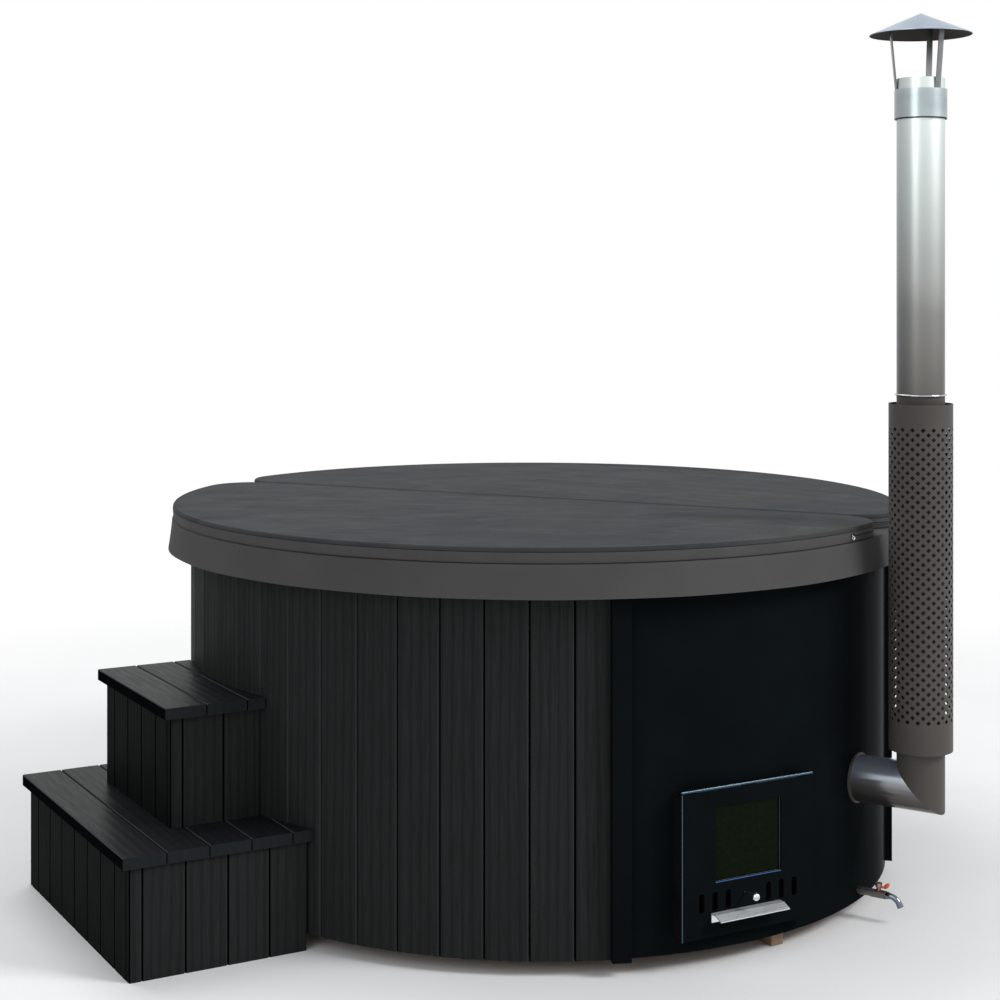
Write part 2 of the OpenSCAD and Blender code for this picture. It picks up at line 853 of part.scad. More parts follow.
module door_plate() {
  color(panel_black) difference() {
    block([-door_w / 2, door_face, door_low], [door_w / 2, door_back, door_top]);
    block([-window_w / 2, door_face - over, window_low], [window_w / 2, door_back + over, window_top]);
    for (side = [-1, 1], i = [0 : slot_count - 1]) air_slot(side * (slot_first + i * slot_pitch));
    translate([rod_x, door_face - over, rod_z])
      rotate([-90, 0, 0]) cylinder(r = rod_r + rod_hole_gap, h = door_t + 2 * over);
    for (side = [-1, 1])
      translate([handle_x + side * handle_len * handle_screw_share, door_face - over,
        handle_z - handle_screw_down])
        rotate([-90, 0, 0]) cylinder(r = handle_screw_r + shaft_gap, h = door_t + 2 * over);
  }
}

// Flat frame in the door's plane, given by its outer and inner corners
module door_ring(half, low, high, in_half, in_low, in_high, front, thick) {
  difference() {
    block([-half, front, low], [half, front + thick, high]);
    block([-in_half, front - over, in_low], [in_half, front + thick + over, in_high]);
  }
}

// Rope round the stove's mouth and the flat seal in front of the glass, both on the door
module door_seals() {
  side = mouth_half + rope_side;
  low = mouth_low - rope_side;
  high = mouth_top + rope_side;
  color(rope_grey) {
    door_ring(side + rope_w, low - rope_w, high + rope_w, side, low, high,
      door_back, door_seal_gap - running_gap);
    door_ring(window_w / 2 + glass_lap, window_low - glass_lap, window_top + glass_lap,
      window_w / 2, window_low, window_top, door_back, glass_seal_t);
  }
}

module door_glass() {
  color(glass_green) block([-window_w / 2 - glass_lap, glass_front, window_low - glass_lap],
    [window_w / 2 + glass_lap, retainer_front, window_top + glass_lap]);
}

module glass_retainer() {
  color(iron_dark) difference() {
    door_ring(retainer_half, window_low - retainer_lap, window_top + retainer_lap,
      window_w / 2, window_low, window_top, retainer_front, retainer_t);
    retainer_screw_places() rotate([-90, 0, 0])
      cylinder(r = screw_r + shaft_gap, h = door_stand);
  }
}

// The retainer's four screws, from the door plate's back
module retainer_screw_places() {
  for (side = [-1, 1], share = [retainer_screw_share, 1 - retainer_screw_share])
    translate([side * (retainer_half - retainer_screw_in), door_back, window_low + window_h * share])
      children();
}

module door_screws() {
  run = retainer_front + retainer_t - door_back;
  color(steel_bright) {
    retainer_screw_places() rotate([-90, 0, 0]) union() {
      cylinder(r = screw_r, h = run + screw_head_h);
      translate([0, 0, run]) cylinder(r = screw_head_r, h = screw_head_h);
    }
    for (side = [-1, 1])
      translate([handle_x + side * handle_len * handle_screw_share, door_face - handle_t,
        handle_z - handle_screw_down]) rotate([-90, 0, 0]) union() {
        translate([0, 0, -screw_head_h]) cylinder(r = screw_head_r, h = screw_head_h);
        cylinder(r = handle_screw_r, h = handle_t + door_t + nut_t);
        translate([0, 0, handle_t + door_t]) cylinder(r = nut_r, h = nut_t);
      }
  }
}

module door_handle() {
  edge = door_face - handle_flat;
  tip = edge - handle_slope_out;
  color(steel_bright) difference() {
    translate([handle_x - handle_len / 2, 0, 0]) along_x(handle_len) polygon([
      [door_face, handle_z], [edge, handle_z], [tip, handle_z - handle_slope_drop],
      [tip + handle_t * sin(handle_tilt), handle_z - handle_slope_drop - handle_t * cos(handle_tilt)],
      [edge + handle_t * tan(handle_tilt / 2), handle_z - handle_t],
      [door_face - handle_t, handle_z - handle_t],
      [door_face - handle_t, handle_z - handle_flange], [door_face, handle_z - handle_flange]
    ]);
    for (side = [-1, 1])
      translate([handle_x + side * handle_len * handle_screw_share, door_face - handle_t - over,
        handle_z - handle_screw_down])
        rotate([-90, 0, 0]) cylinder(r = handle_screw_r + shaft_gap, h = handle_t + 2 * over);
  }
}

module air_rod() {
  back = door_back + baffle_gap + baffle_t;
  color(steel_bright) translate([rod_x, door_face - knob_out, rod_z])
    rotate([-90, 0, 0]) cylinder(r = rod_r, h = back - door_face + knob_out);
}

module air_knob() {
  color(steel_bright) translate([rod_x, door_face - knob_out, rod_z]) difference() {
    sphere(r = knob_r);
    rotate([-90, 0, 0]) cylinder(r = rod_r, h = knob_r + over);
  }
}

module air_baffle() {
  front = door_back + baffle_gap;
  color(iron_dark) difference() {
    block([-baffle_half, front, slot_z - slot_h / 2 - baffle_over],
      [baffle_half, front + baffle_t, slot_z + slot_h / 2 + baffle_over]);
    translate([rod_x, front - over, rod_z])
      rotate([-90, 0, 0]) cylinder(r = rod_r, h = baffle_t + 2 * over);
  }
}

module flue_side_leg() {
  color(steel_bright) difference() {
    translate([stove_half, leg_y, flue_z]) rotate([0, 90, 0])
      tube(pipe_r, pipe_in, leg_x - stove_half + pipe_d);
    translate([leg_x, leg_y, flue_z]) rotate([0, 0, -leg_turn / 2]) half_space(stub_reach * 2);
  }
}

module flue_stub() {
  color(steel_bright) difference() {
    on_flue_line(stub_start - pipe_d, flue_z) rotate([0, 90, 0])
      tube(pipe_r, pipe_in, chimney_r - stub_start + stub_reach);
    translate([leg_x, leg_y, flue_z]) rotate([0, 0, 180 - leg_turn / 2]) half_space(stub_reach * 2);
    on_flue_line(chimney_r, flue_z) rotate([0, -elbow_turn / 2, 0]) half_space(stub_reach * 2);
  }
}

// Trim ring round the stub, set into the panel
module flue_collar() {
  color(steel_grey) on_flue_line(panel_r - collar_in, flue_z) rotate([0, 90, 0])
    tube(pipe_r + collar_w, pipe_r + shaft_gap, collar_in + collar_t);
}

module chimney_elbow() {
  color(steel_grey) difference() {
    on_flue_line(chimney_r, flue_z - pipe_d) tube(pipe_r, pipe_in, elbow_top - flue_z + pipe_d);
    on_flue_line(chimney_r, flue_z) rotate([0, 180 - elbow_turn / 2, 0]) half_space(stub_reach * 2);
  }
}

// Pipe with a spigot at its foot that enters the pipe below
module spigot_pipe(low, high) {
  on_flue_line(chimney_r, 0) rotate_extrude() polygon([
    [pipe_in - spigot_gap - spigot_t, low - spigot_h], [pipe_in - spigot_gap, low - spigot_h],
    [pipe_in - spigot_gap, low], [pipe_r, low], [pipe_r, high], [pipe_in, high],
    [pipe_in, low + spigot_step], [pipe_in - spigot_gap - spigot_t, low + spigot_step]
  ]);
}

module chimney_pipe_lower() {
  color(steel_grey) spigot_pipe(elbow_top, joint_z);
}

module chimney_pipe_upper() {
  color(steel_bright) spigot_pipe(joint_z, pipe_top);
}

module locking_band() {
  color(steel_bright) on_flue_line(chimney_r, joint_z) rotate_extrude()
    translate([pipe_r + band_wire + spigot_gap, 0]) circle(r = band_wire);
}

module heat_guard() {
  color(steel_grey) on_flue_line(chimney_r, guard_low) tube(guard_d / 2, guard_d / 2 - guard_t, guard_h);
}

module guard_spacers() {
  reach = sqrt(pow(guard_d / 2 - guard_t, 2) - pow(spacer_w / 2, 2)) - shaft_gap;
  color(steel_grey) on_flue_line(chimney_r, 0)
    for (low = [guard_low + spacer_low, guard_top - spacer_high], i = [0 : 2])
      rotate([0, 0, i * third])
        block([pipe_r, -spacer_w / 2, low], [reach, spacer_w / 2, low + spacer_h]);
}

module cap_sleeve() {
  color(steel_bright) on_flue_line(chimney_r, sleeve_top - sleeve_h)
    tube(sleeve_in + sleeve_t, sleeve_in, sleeve_h);
}

module cap_struts() {
  foot = pipe_r + spigot_gap;
  color(steel_bright) on_flue_line(chimney_r, 0) for (i = [0 : 2])
    rotate([0, 0, i * third - flue_angle]) rotate([90, 0, 0])
      linear_extrude(strut_w, center = true) polygon([
        [foot, sleeve_top - strut_lap], [foot + strut_t, sleeve_top - strut_lap],
        [foot + strut_t, sleeve_top], [strut_top_r, cap_under(strut_top_r)],
        [strut_top_r - strut_t, cap_under(strut_top_r - strut_t)], [foot, sleeve_top]
      ]);
}

module rain_cap() {
  color(steel_bright) on_flue_line(chimney_r, 0) rotate_extrude() polygon([
    [0, cap_rim + cap_h], [cap_r, cap_rim], [cap_r, cap_rim - cap_t], [0, cap_rim + cap_h - cap_t]
  ]);
}

module drain_strainer() {
  color(steel_bright) on_flue_line(strainer_at, 0) difference() {
    union() {
      translate([0, 0, floor_z]) cylinder(r = strainer_r, h = strainer_t);
      translate([0, 0, drain_z]) cylinder(r = neck_r, h = floor_z - drain_z + strainer_t / 2);
    }
    translate([0, 0, drain_z - over]) cylinder(r = neck_r - neck_wall, h = floor_z - drain_z + over);
    translate([-strainer_r, 0, drain_z]) rotate([0, 90, 0]) cylinder(r = drain_r, h = 2 * strainer_r);
    for (i = [0 : strainer_holes - 1]) rotate([0, 0, i * 360 / strainer_holes])
      translate([strainer_hole_at, 0, floor_z - over])
        cylinder(r = strainer_hole_r, h = strainer_t + 2 * over);
  }
}

module drain_pipe() {
  end = valve_r - valve_half;
  color(steel_grey) difference() {
    on_flue_line(pipe_start, drain_z) rotate([0, 90, 0]) cylinder(r = drain_r, h = end - pipe_start);
    on_flue_line(pipe_start + drain_wall, drain_z) rotate([0, 90, 0])
      cylinder(r = drain_r - drain_wall, h = end - pipe_start);
    on_flue_line(strainer_at, drain_z) cylinder(r = outlet_r, h = drain_d);
  }
}

module valve_body() {
  color(iron_dark) on_flue_line(valve_r, drain_z) difference() {
    union() {
      translate([-valve_half, 0, 0]) rotate([0, 90, 0]) cylinder(r = valve_body_r, h = 2 * valve_half);
      cylinder(r = valve_boss_r, h = valve_boss_h);
    }
    sphere(r = valve_ball_r + valve_ball_gap);
    translate([-valve_half - over, 0, 0]) rotate([0, 90, 0])
      cylinder(r = valve_bore_r, h = 2 * (valve_half + over));
    cylinder(r = stem_r + shaft_gap, h = valve_boss_h + over);
  }
}

// Bored ball and its stem in one piece, as the ball valve turns them together
module valve_ball() {
  color(steel_bright) on_flue_line(valve_r, drain_z) difference() {
    union() {
      sphere(r = valve_ball_r);
      cylinder(r = stem_r, h = valve_boss_h + lever_t + stem_nut_h);
      translate([0, 0, valve_boss_h + lever_t + running_gap])
        cylinder(r = stem_nut_r, h = stem_nut_h - running_gap);
    }
    translate([-valve_half, 0, 0]) rotate([0, 90, 0]) cylinder(r = valve_bore_r, h = 2 * valve_half);
  }
}

module valve_lever() {
  low = valve_boss_h + running_gap;
  plate = lever_t - running_gap;
  color(lever_orange) on_flue_line(valve_r, drain_z) difference() {
    union() {
      translate([0, 0, low]) cylinder(r = lever_hub_r, h = plate);
      block([0, -lever_end_w / 2, low], [lever_root + plate / 2, lever_end_w / 2, low + plate]);
      translate([lever_root, 0, low]) rotate([0, -lever_tilt, 0]) linear_extrude(plate)
        polygon([
          [0, -lever_w / 2], [lever_len, -lever_end_w / 2],
          [lever_len, lever_end_w / 2], [0, lever_w / 2]
        ]);
    }
    cylinder(r = stem_r, h = valve_boss_h + 2 * lever_t);
  }
}

// Screwed collar, downward bend and a thicker lip at the mouth
module drain_spout() {
  color(steel_bright) on_flue_line(valve_r + valve_half, drain_z) union() {
    rotate([0, 90, 0]) tube(spout_r + spout_collar_t, spout_bore_r, spout_run);
    translate([spout_run, 0, -spout_bend]) rotate([90, 0, 0]) rotate([0, 0, 90 - spout_turn])
      rotate_extrude(angle = spout_turn) translate([spout_bend, 0]) difference() {
        circle(r = spout_r);
        circle(r = spout_r - spout_wall);
      }
    translate([spout_run, 0, -spout_bend]) rotate([0, spout_turn, 0])
      translate([0, 0, spout_bend]) rotate([0, 90, 0])
        tube(spout_r + spout_lip_t, spout_bore_r, spout_tip);
  }
}

// Half of a revolved outline on one side of the fold line: 1 is the back, -1 the front
module cover_half(side, gap) {
  rotate([0, 0, fold_angle - 90]) difference() {
    rotate([0, 0, side > 0 ? 0 : 180]) rotate_extrude(angle = 180) children();
    translate([-big / 2, -gap / 2, 0]) cube([big, gap, big]);
  }
}

// Outline of a cover half from the axis to the rim, rounded along the upper edge
function cover_outline(inset) = concat(
  [[0, cover_low + inset], [cover_r - inset, cover_low + inset]],
  [for (i = [0 : round_steps]) let (a = i * 90 / round_steps, r = edge_round - inset)
    [cover_r - edge_round + r * cos(a), cover_top - edge_round + r * sin(a)]],
  [[0, cover_top - inset]]
);

module cover_core(side) {
  color(foam_cream) cover_half(side, fold_gap + 2 * cover_sheet)
    polygon(cover_outline(cover_sheet));
}

// Sheet all round a half's foam
module cover_sheet_half(side) {
  color(vinyl_top) difference() {
    cover_half(side, fold_gap) polygon(cover_outline(0));
    cover_half(side, fold_gap + 2 * cover_sheet) polygon(cover_outline(cover_sheet));
  }
}

module cover_skirt(side) {
  color(vinyl_side) cover_half(side, skirt_fold_gap) polygon([
    [cover_r + skirt_seat, band_low - skirt_seat],
    [cover_r + skirt_seat + skirt_t, band_low - skirt_seat],
    [cover_r + skirt_flare, skirt_low], [cover_r + skirt_flare - skirt_t, skirt_low]
  ]);
}

// Zip slider with its ring, on the seam between band and skirt
module cover_pull(turn, reach, rise) {
  color(steel_bright) rotate([0, 0, fold_angle + turn - 90])
    translate([cover_r + reach + pull_gap, 0, band_low + rise]) union() {
      block([0, -pull_w / 2, -pull_h / 2], [pull_t, pull_w / 2, pull_h / 2]);
      translate([pull_t - pull_wire, 0, -pull_h / 2 - pull_ring_r + pull_wire]) rotate([0, 90, 0])
        rotate_extrude() translate([pull_ring_r - pull_wire, 0]) circle(r = pull_wire);
    }
}

module cover_back_core() { cover_core(1); }
module cover_back_sheet() { cover_sheet_half(1); }
module cover_back_skirt() { cover_skirt(1); }
module cover_back_pull() { cover_pull(back_pull_turn, skirt_seat + skirt_t, 0); }
module cover_front_core() { cover_core(-1); }
module cover_front_sheet() { cover_sheet_half(-1); }
module cover_front_skirt() { cover_skirt(-1); }
module cover_front_pull() { cover_pull(-front_pull_turn, 0, front_pull_rise); }

// Edges of a row's boards: a first board, full boards and what is left, none too narrow
function plank_edges(length, first) = concat(
  [0],
  [for (s = [first : plank_pitch : length - step_least_board]) if (s > step_least_board) s],
  [length]
);

// Upright boards along +X, their bevelled faces towards -Y
module plank_row(length, first, height) {
  edges = plank_edges(length, first);
  g = step_board_gap / 2;
  for (i = [0 : len(edges) - 2]) let (s = edges[i] + g, e = edges[i + 1] - g)
    linear_extrude(height) polygon([
      [s, step_bevel], [s + step_bevel, 0], [e - step_bevel, 0], [e, step_bevel],
      [e, step_board_t], [s, step_board_t]
    ]);
}

// Cladding of a step on its front, back and outer side
module step_boards(left, right, half, low, high) {
  length = 2 * (half - step_board_t);
  rest = 2 * half - floor(2 * half / plank_pitch) * plank_pitch - step_board_t;
  translate([left, -half, low]) plank_row(right - left, step_first, high - low);
  mirror([0, 1, 0]) translate([left, -half, low]) plank_row(right - left, step_first, high - low);
  translate([left, half - step_board_t, low]) rotate([0, 0, -90]) plank_row(length, rest, high - low);
}

// Tread boards along Y, cut to the tub's round
module step_tread(left, half, top) {
  right = -sqrt(pow(step_cut_r, 2) - pow(half, 2)) - tread_end_gap;
  g = tread_gap / 2;
  difference() {
    for (start = [left : plank_pitch : right - tread_gap]) {
      s = start + (start == left ? 0 : g);
      e = min(start + plank_pitch - g, right);
      translate([0, 0, top - tread_t]) rotate([90, 0, 0]) linear_extrude(2 * half, center = true)
        polygon([
          [s, 0], [e, 0], [e, tread_t - tread_bevel], [e - tread_bevel, tread_t],
          [s + tread_bevel, tread_t], [s, tread_t - tread_bevel]
        ]);
    }
    translate([0, 0, -over]) cylinder(r = step_cut_r, h = rim_top);
  }
}

// Posts and top rails inside a step's boards
module step_frame(left, half, low, high) {
  inner = half - step_board_t - shaft_gap;
  start = left + step_board_t + shaft_gap;
  right = -sqrt(pow(step_cut_r, 2) - pow(inner - post_w, 2)) - post_gap;
  for (side = [-1, 1]) {
    y = side * (inner - post_w / 2) - post_w / 2;
    for (x = [start, right - post_w])
      block([x, y, low], [x + post_w, y + post_w, high]);
    block([start, y, high - post_w], [right, y + post_w, high]);
  }
  block([start, -inner + post_w, high - post_w], [start + post_w, inner - post_w, high]);
}

module lower_step_frame() {
  color(bare_timber) step_frame(lower_left, lower_half, 0, lower_body_top);
}

module lower_step_boards() {
  color(wood_black) step_boards(lower_left, lower_right, lower_half, 0, lower_body_top);
}

module lower_step_tread() {
  color(tread_black) step_tread(lower_left - tread_front, lower_half + lower_tread_side, lower_top);
}

module upper_step_frame() {
  color(bare_timber) step_frame(upper_left, upper_half, lower_top, upper_body_top);
}

module upper_step_boards() {
  color(wood_black) step_boards(upper_left, upper_right, upper_half, lower_top, upper_body_top);
}

module upper_step_tread() {
  color(tread_black) step_tread(upper_left - tread_front, upper_half + upper_tread_side, upper_top);
}

base_timbers();
floor_deck();
insulation();
wall_hoops();
cladding_boards();
top_ring();
liner();
bench_boards();
bench_supports();
stove_fence();
heater_panel();
panel_battens();
panel_bars();
stove_box();
stove_grate();
door_frame();
hinge_frame_leaf();
hinge_pin();
door_plate();
hinge_door_leaf();
door_seals();
door_glass();
glass_retainer();
door_screws();
door_handle();
air_rod();
air_knob();
air_baffle();
flue_side_leg();
flue_stub();
flue_collar();
chimney_elbow();
chimney_pipe_lower();
chimney_pipe_upper();
locking_band();
heat_guard();
guard_spacers();
cap_sleeve();
cap_struts();
rain_cap();
drain_strainer();
drain_pipe();
valve_body();
valve_ball();
valve_lever();
drain_spout();
cover_back_core();
cover_back_sheet();
cover_back_skirt();
cover_back_pull();
cover_front_core();
cover_front_sheet();
cover_front_skirt();
cover_front_pull();
lower_step_frame();
lower_step_boards();
lower_step_tread();
upper_step_frame();
upper_step_boards();
upper_step_tread();
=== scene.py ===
"""Dresses a wood-fired hot tub: its boards, heater panel, chimney, drain, cover and steps."""

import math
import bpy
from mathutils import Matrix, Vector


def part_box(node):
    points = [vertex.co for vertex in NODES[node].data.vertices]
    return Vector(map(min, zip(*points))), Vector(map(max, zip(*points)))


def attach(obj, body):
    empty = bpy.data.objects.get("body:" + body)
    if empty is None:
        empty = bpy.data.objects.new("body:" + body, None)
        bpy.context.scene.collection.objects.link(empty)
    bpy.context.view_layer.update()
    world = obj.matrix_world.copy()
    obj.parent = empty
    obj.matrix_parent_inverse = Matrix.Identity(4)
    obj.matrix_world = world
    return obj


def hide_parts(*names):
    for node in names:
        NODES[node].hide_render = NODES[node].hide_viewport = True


bl_info = {
    "name": "Wood-fired Hot Tub",
    "version": (1, 0, 0),
    "blender": (4, 5, 0),
    "location": "3D View > Sidebar > Hot Tub",
    "description": "Finishes for the tub's boards, heater panel, chimney, folding cover and steps",
    "category": "Object",
}

from collections import Counter
from contextlib import contextmanager

import bpy
from mathutils import Vector, noise

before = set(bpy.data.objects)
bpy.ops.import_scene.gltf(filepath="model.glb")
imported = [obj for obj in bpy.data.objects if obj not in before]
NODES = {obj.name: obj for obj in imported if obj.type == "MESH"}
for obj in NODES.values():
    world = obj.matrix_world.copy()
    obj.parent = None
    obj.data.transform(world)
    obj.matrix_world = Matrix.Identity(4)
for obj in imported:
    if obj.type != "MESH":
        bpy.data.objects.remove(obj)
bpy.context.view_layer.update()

# Degrees round the tub per cladding board, and a joint that lies before all of them
BOARD_TURN = 6.31579
FIRST_BOARD = -25.22 - BOARD_TURN * 60
TUB_RADIUS = 0.975
# Width of the steps' boards, and a number of whole boards that lies before all of them
STEP_BOARD = 0.107
STEP_BACK = 4.28
# Radius of the cover's rim, and half of the gap along its fold
RIM = 1.025
HALF_GAP = 0.0005
# To the right in the camera's view, for the painted shade on the pipes' flanks: part along X, and
# part against Y
VIEW_RIGHT = (0.874, 0.486)
BARE_TIMBER = (0.27, 0.185, 0.12)
BENCH_WOOD = (0.36, 0.205, 0.105)
SOFT_BLACK = (0.012, 0.012, 0.013)
# Scales of a brushed finish with no direction
EVEN_BRUSH = (60.0, 60.0, 60.0)


# ---- sizes and colours


def length_field(name, description, default):
    """Length setting in metres."""
    return bpy.props.FloatProperty(
        name=name, description=description, default=default, unit="LENGTH")


def colour_field(name, description, default):
    """Colour setting in scene-linear values."""
    return bpy.props.FloatVectorProperty(
        name=name, description=description, default=default, size=3, subtype="COLOR",
        min=0, max=1)


class CoverSizes(bpy.types.PropertyGroup):
    fold_turn: bpy.props.FloatProperty(
        name="Fold turn", description="Angle of the fold line, from the door towards +X",
        default=math.radians(34.6), subtype="ANGLE")
    corner: length_field("Corner", "Radius of the plan corners at both ends of the fold", 0.131)
    edge: length_field("Edge", "Radius of the upper edge", 0.008)
    dent: length_field("Dents", "Depth of the dents and wrinkles of the top", 0.0055)
    crown: length_field("Crown", "Rise of the top towards its middle", 0.004)


class GuardSizes(bpy.types.PropertyGroup):
    holes: bpy.props.IntProperty(
        name="Holes", description="Holes in one row round the guard", default=19)
    rows: bpy.props.IntProperty(name="Rows", description="Rows of holes", default=62)
    hole: length_field("Hole", "Diagonal of a hole", 0.0125)
    row_pitch: length_field("Row pitch", "Height from row to row", 0.01195)
    first_row: length_field("First row", "Height of the topmost row", 1.266)


class FinishColours(bpy.types.PropertyGroup):
    boards: colour_field("Boards", "Stain of the cladding and the steps", (0.0182, 0.0201, 0.0200))
    treads: colour_field("Treads", "Stain of the tread boards", (0.0090, 0.0104, 0.0110))
    panel: colour_field("Panel", "Enamel of the heater panel and door", (0.0042, 0.0058, 0.0064))
    cover_top: colour_field("Cover top", "Coated sheet of the cover", (0.0352, 0.0386, 0.0420))
    cover_side: colour_field("Cover side", "Band and skirt of the cover", (0.065, 0.0635, 0.063))
    chimney: colour_field("Chimney", "Paint of the guard and lower pipe", (0.068, 0.061, 0.056))
    steel: colour_field("Steel", "Brushed stainless steel", (0.56, 0.585, 0.60))
    lever: colour_field("Lever", "Drain valve's lever", (0.72, 0.11, 0.022))


def sizes(name):
    """Settings group of that name in the open scene."""
    return getattr(bpy.context.scene, name)


def centre(name):
    """Middle of a solid's box."""
    low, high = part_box(name)
    return (low + high) / 2


# ---- node graphs


class Finish:
    """A material's node graph: shader, output and the object's own coordinates."""

    def __init__(self, name, metal=0.0, specular=0.5):
        self.material = bpy.data.materials.new(name)
        self.material.use_nodes = True
        self.tree = self.material.node_tree
        self.tree.nodes.clear()
        out = self.add("ShaderNodeOutputMaterial")
        self.shader = self.add("ShaderNodeBsdfPrincipled")
        self.tree.links.new(self.shader.outputs["BSDF"], out.inputs["Surface"])
        self.put(Metallic=metal, Specular_IOR_Level=specular)
        self.place = self.add("ShaderNodeTexCoord").outputs["Object"]
        self.parts = None

    def add(self, kind, **settings):
        node = self.tree.nodes.new(kind)
        for key, value in settings.items():
            setattr(node, key, value)
        return node

    def feed(self, node, key, value):
        """Links an output, or sets a constant, on a node's input."""
        socket = node.inputs[key]
        if isinstance(value, bpy.types.NodeSocket):
            self.tree.links.new(value, socket)
        elif hasattr(value, "__len__") and len(value) == 3 and socket.type == "RGBA":
            socket.default_value = (*value, 1)
        else:
            socket.default_value = value

    def put(self, **values):
        for key, value in values.items():
            self.feed(self.shader, key.replace("_", " "), value)

    def dressed(self, colour, rough, normal):
        """The material, once its shader has these three."""
        self.put(Base_Color=colour, Roughness=rough, Normal=normal)
        return self.material

    def fed(self, kind, output, inputs, **settings):
        """Adds a node, feeds its inputs and returns one of its outputs."""
        node = self.add(kind, **settings)
        for key, value in inputs.items():
            self.feed(node, key, value)
        return node.outputs[output]

    def math(self, operation, a, b=0.0, c=0.0):
        return self.fed("ShaderNodeMath", 0, {0: a, 1: b, 2: c}, operation=operation)

    def split(self, vector):
        node = self.add("ShaderNodeSeparateXYZ")
        self.feed(node, 0, vector)
        return node.outputs

    def axes(self):
        """X, Y and Z of the object's coordinates."""
        if self.parts is None:
            self.parts = self.split(self.place)
        return self.parts

    def facing(self):
        """X, Y and Z of the surface's direction."""
        return self.split(self.add("ShaderNodeTexCoord").outputs["Normal"])

    def point(self, x, y, z):
        return self.fed("ShaderNodeCombineXYZ", 0, {0: x, 1: y, 2: z})

    def scaled(self, x, y, z, at):
        """Coordinates stretched by a scale on each axis."""
        return self.fed("ShaderNodeMapping", 0, {"Vector": at, "Scale": (x, y, z)})

    def noise(self, scale, detail=4.0, rough=0.55, distortion=0.0, at=None):
        """Cloudy pattern, at one scale or at one for each axis."""
        at = at or self.place
        if isinstance(scale, tuple):
            at, scale = self.scaled(*scale, at), 1.0
        inputs = {"Vector": at, "Scale": scale, "Detail": detail, "Roughness": rough,
                  "Distortion": distortion}
        return self.fed("ShaderNodeTexNoise", 0, inputs)

    def wave(self, at, scale, distortion, detail_scale=1.0):
        inputs = {"Vector": at, "Scale": scale, "Distortion": distortion, "Detail": 2.0,
                  "Detail Scale": detail_scale}
        return self.fed("ShaderNodeTexWave", "Fac", inputs, wave_type="BANDS", bands_direction="X")

    def cells(self, scale):
        inputs = {"Vector": self.place, "Scale": scale}
        return self.fed("ShaderNodeTexVoronoi", "Distance", inputs)

    def random(self, x, y, z):
        """A number from 0 to 1 that differs from cell to cell."""
        inputs = {"Vector": self.point(x, y, z)}
        return self.fed("ShaderNodeTexWhiteNoise", "Value", inputs, noise_dimensions="3D")

    def between(self, value, low, high, to_low=0.0, to_high=1.0):
        """Clamped linear map of a value's range to another."""
        inputs = {"Value": value, "From Min": low, "From Max": high, "To Min": to_low,
                  "To Max": to_high}
        return self.fed("ShaderNodeMapRange", 0, inputs)

    def spread(self, pattern, to_low=0.0, to_high=1.0):
        """Map of the range in which a noise mostly stays."""
        return self.between(pattern, 0.3, 0.7, to_low, to_high)

    def mottled(self, pattern, colour, amount):
        """Colour that is a little darker here and paler there."""
        dark, pale = tinted(colour, 1 - amount), tinted(colour, 1 + amount)
        return self.mix(self.spread(pattern), dark, pale)

    def mix(self, share, a, b):
        """Colour a, blended towards colour b by a share."""
        first, second, result = 6, 7, 2
        inputs = {"Factor": share, first: a, second: b}
        return self.fed("ShaderNodeMix", result, inputs, data_type="RGBA")

    def bump(self, height, distance, strength, under=None):
        inputs = {"Height": height, "Distance": distance, "Strength": strength}
        if under is not None:
            inputs["Normal"] = under
        return self.fed("ShaderNodeBump", 0, inputs)

    def product(self, a, b):
        return self.math("MULTIPLY", a, b)

    def turn(self):
        """Angle round the tub in degrees, from the door towards +X."""
        x, y, _ = self.axes()
        angle = self.math("ARCTAN2", x, self.product(y, -1.0))
        return self.product(angle, 180 / math.pi)

    def reach(self):
        """Distance from the tub's axis."""
        x, y, _ = self.axes()
        return self.math("SQRT", self.math("ADD", self.product(x, x), self.product(y, y)))


def tinted(colour, share):
    return tuple(min(1.0, c * share) for c in tuple(colour)[:3])


def board_index(finish, value, start, pitch):
    return finish.math("FLOOR", finish.math("DIVIDE", finish.math("SUBTRACT", value, start), pitch))


def wood_look(finish, colour, across, deep, along, board, contrast=0.6, rough=(0.5, 0.7)):
    """Stained softwood: long fibres, wandering year rings and a tone for each board."""
    f = finish
    run = f.math("ADD", along, f.product(board, 9.0))
    side = f.math("ADD", across, f.product(board, 3.1))
    at = f.point(side, deep, run)
    fibre = f.noise((210.0, 210.0, 9.0), 6.0, 0.68, at=at)
    streak = f.noise((26.0, 26.0, 2.2), 4.0, 0.6, 0.5, at=at)
    rings = f.wave(f.scaled(1.0, 1.0, 0.16, at), 13.0, 5.0, 0.4)
    pores = f.noise((520.0, 520.0, 9.0), 2.0, 0.5, at=at)
    dark, pale = tinted(colour, 1 - 0.52 * contrast), tinted(colour, 1 + 0.62 * contrast)
    tone = f.mix(f.between(fibre, 0.3, 0.72), dark, pale)
    tone = f.mix(f.between(streak, 0.32, 0.7, 0.0, 0.45), tone, tinted(colour, 1 + 0.35 * contrast))
    tone = f.mix(f.between(rings, 0.55, 0.98, 0.0, 0.62), tone, dark)
    tone = f.mix(f.between(pores, 0.63, 0.8, 0.0, 0.6), tone, tinted(colour, 0.35))
    tone = f.mix(f.between(board, 0.0, 1.0, 0.0, 0.5), tone, f.mix(0.5, tone, tinted(colour, 0.72)))
    f.put(Base_Color=tone, Roughness=f.between(fibre, 0.3, 0.75, rough[1], rough[0]))
    grain = f.bump(fibre, 0.0006, 0.5)
    f.put(Normal=f.bump(rings, 0.0008, 0.35, grain))
    return tone


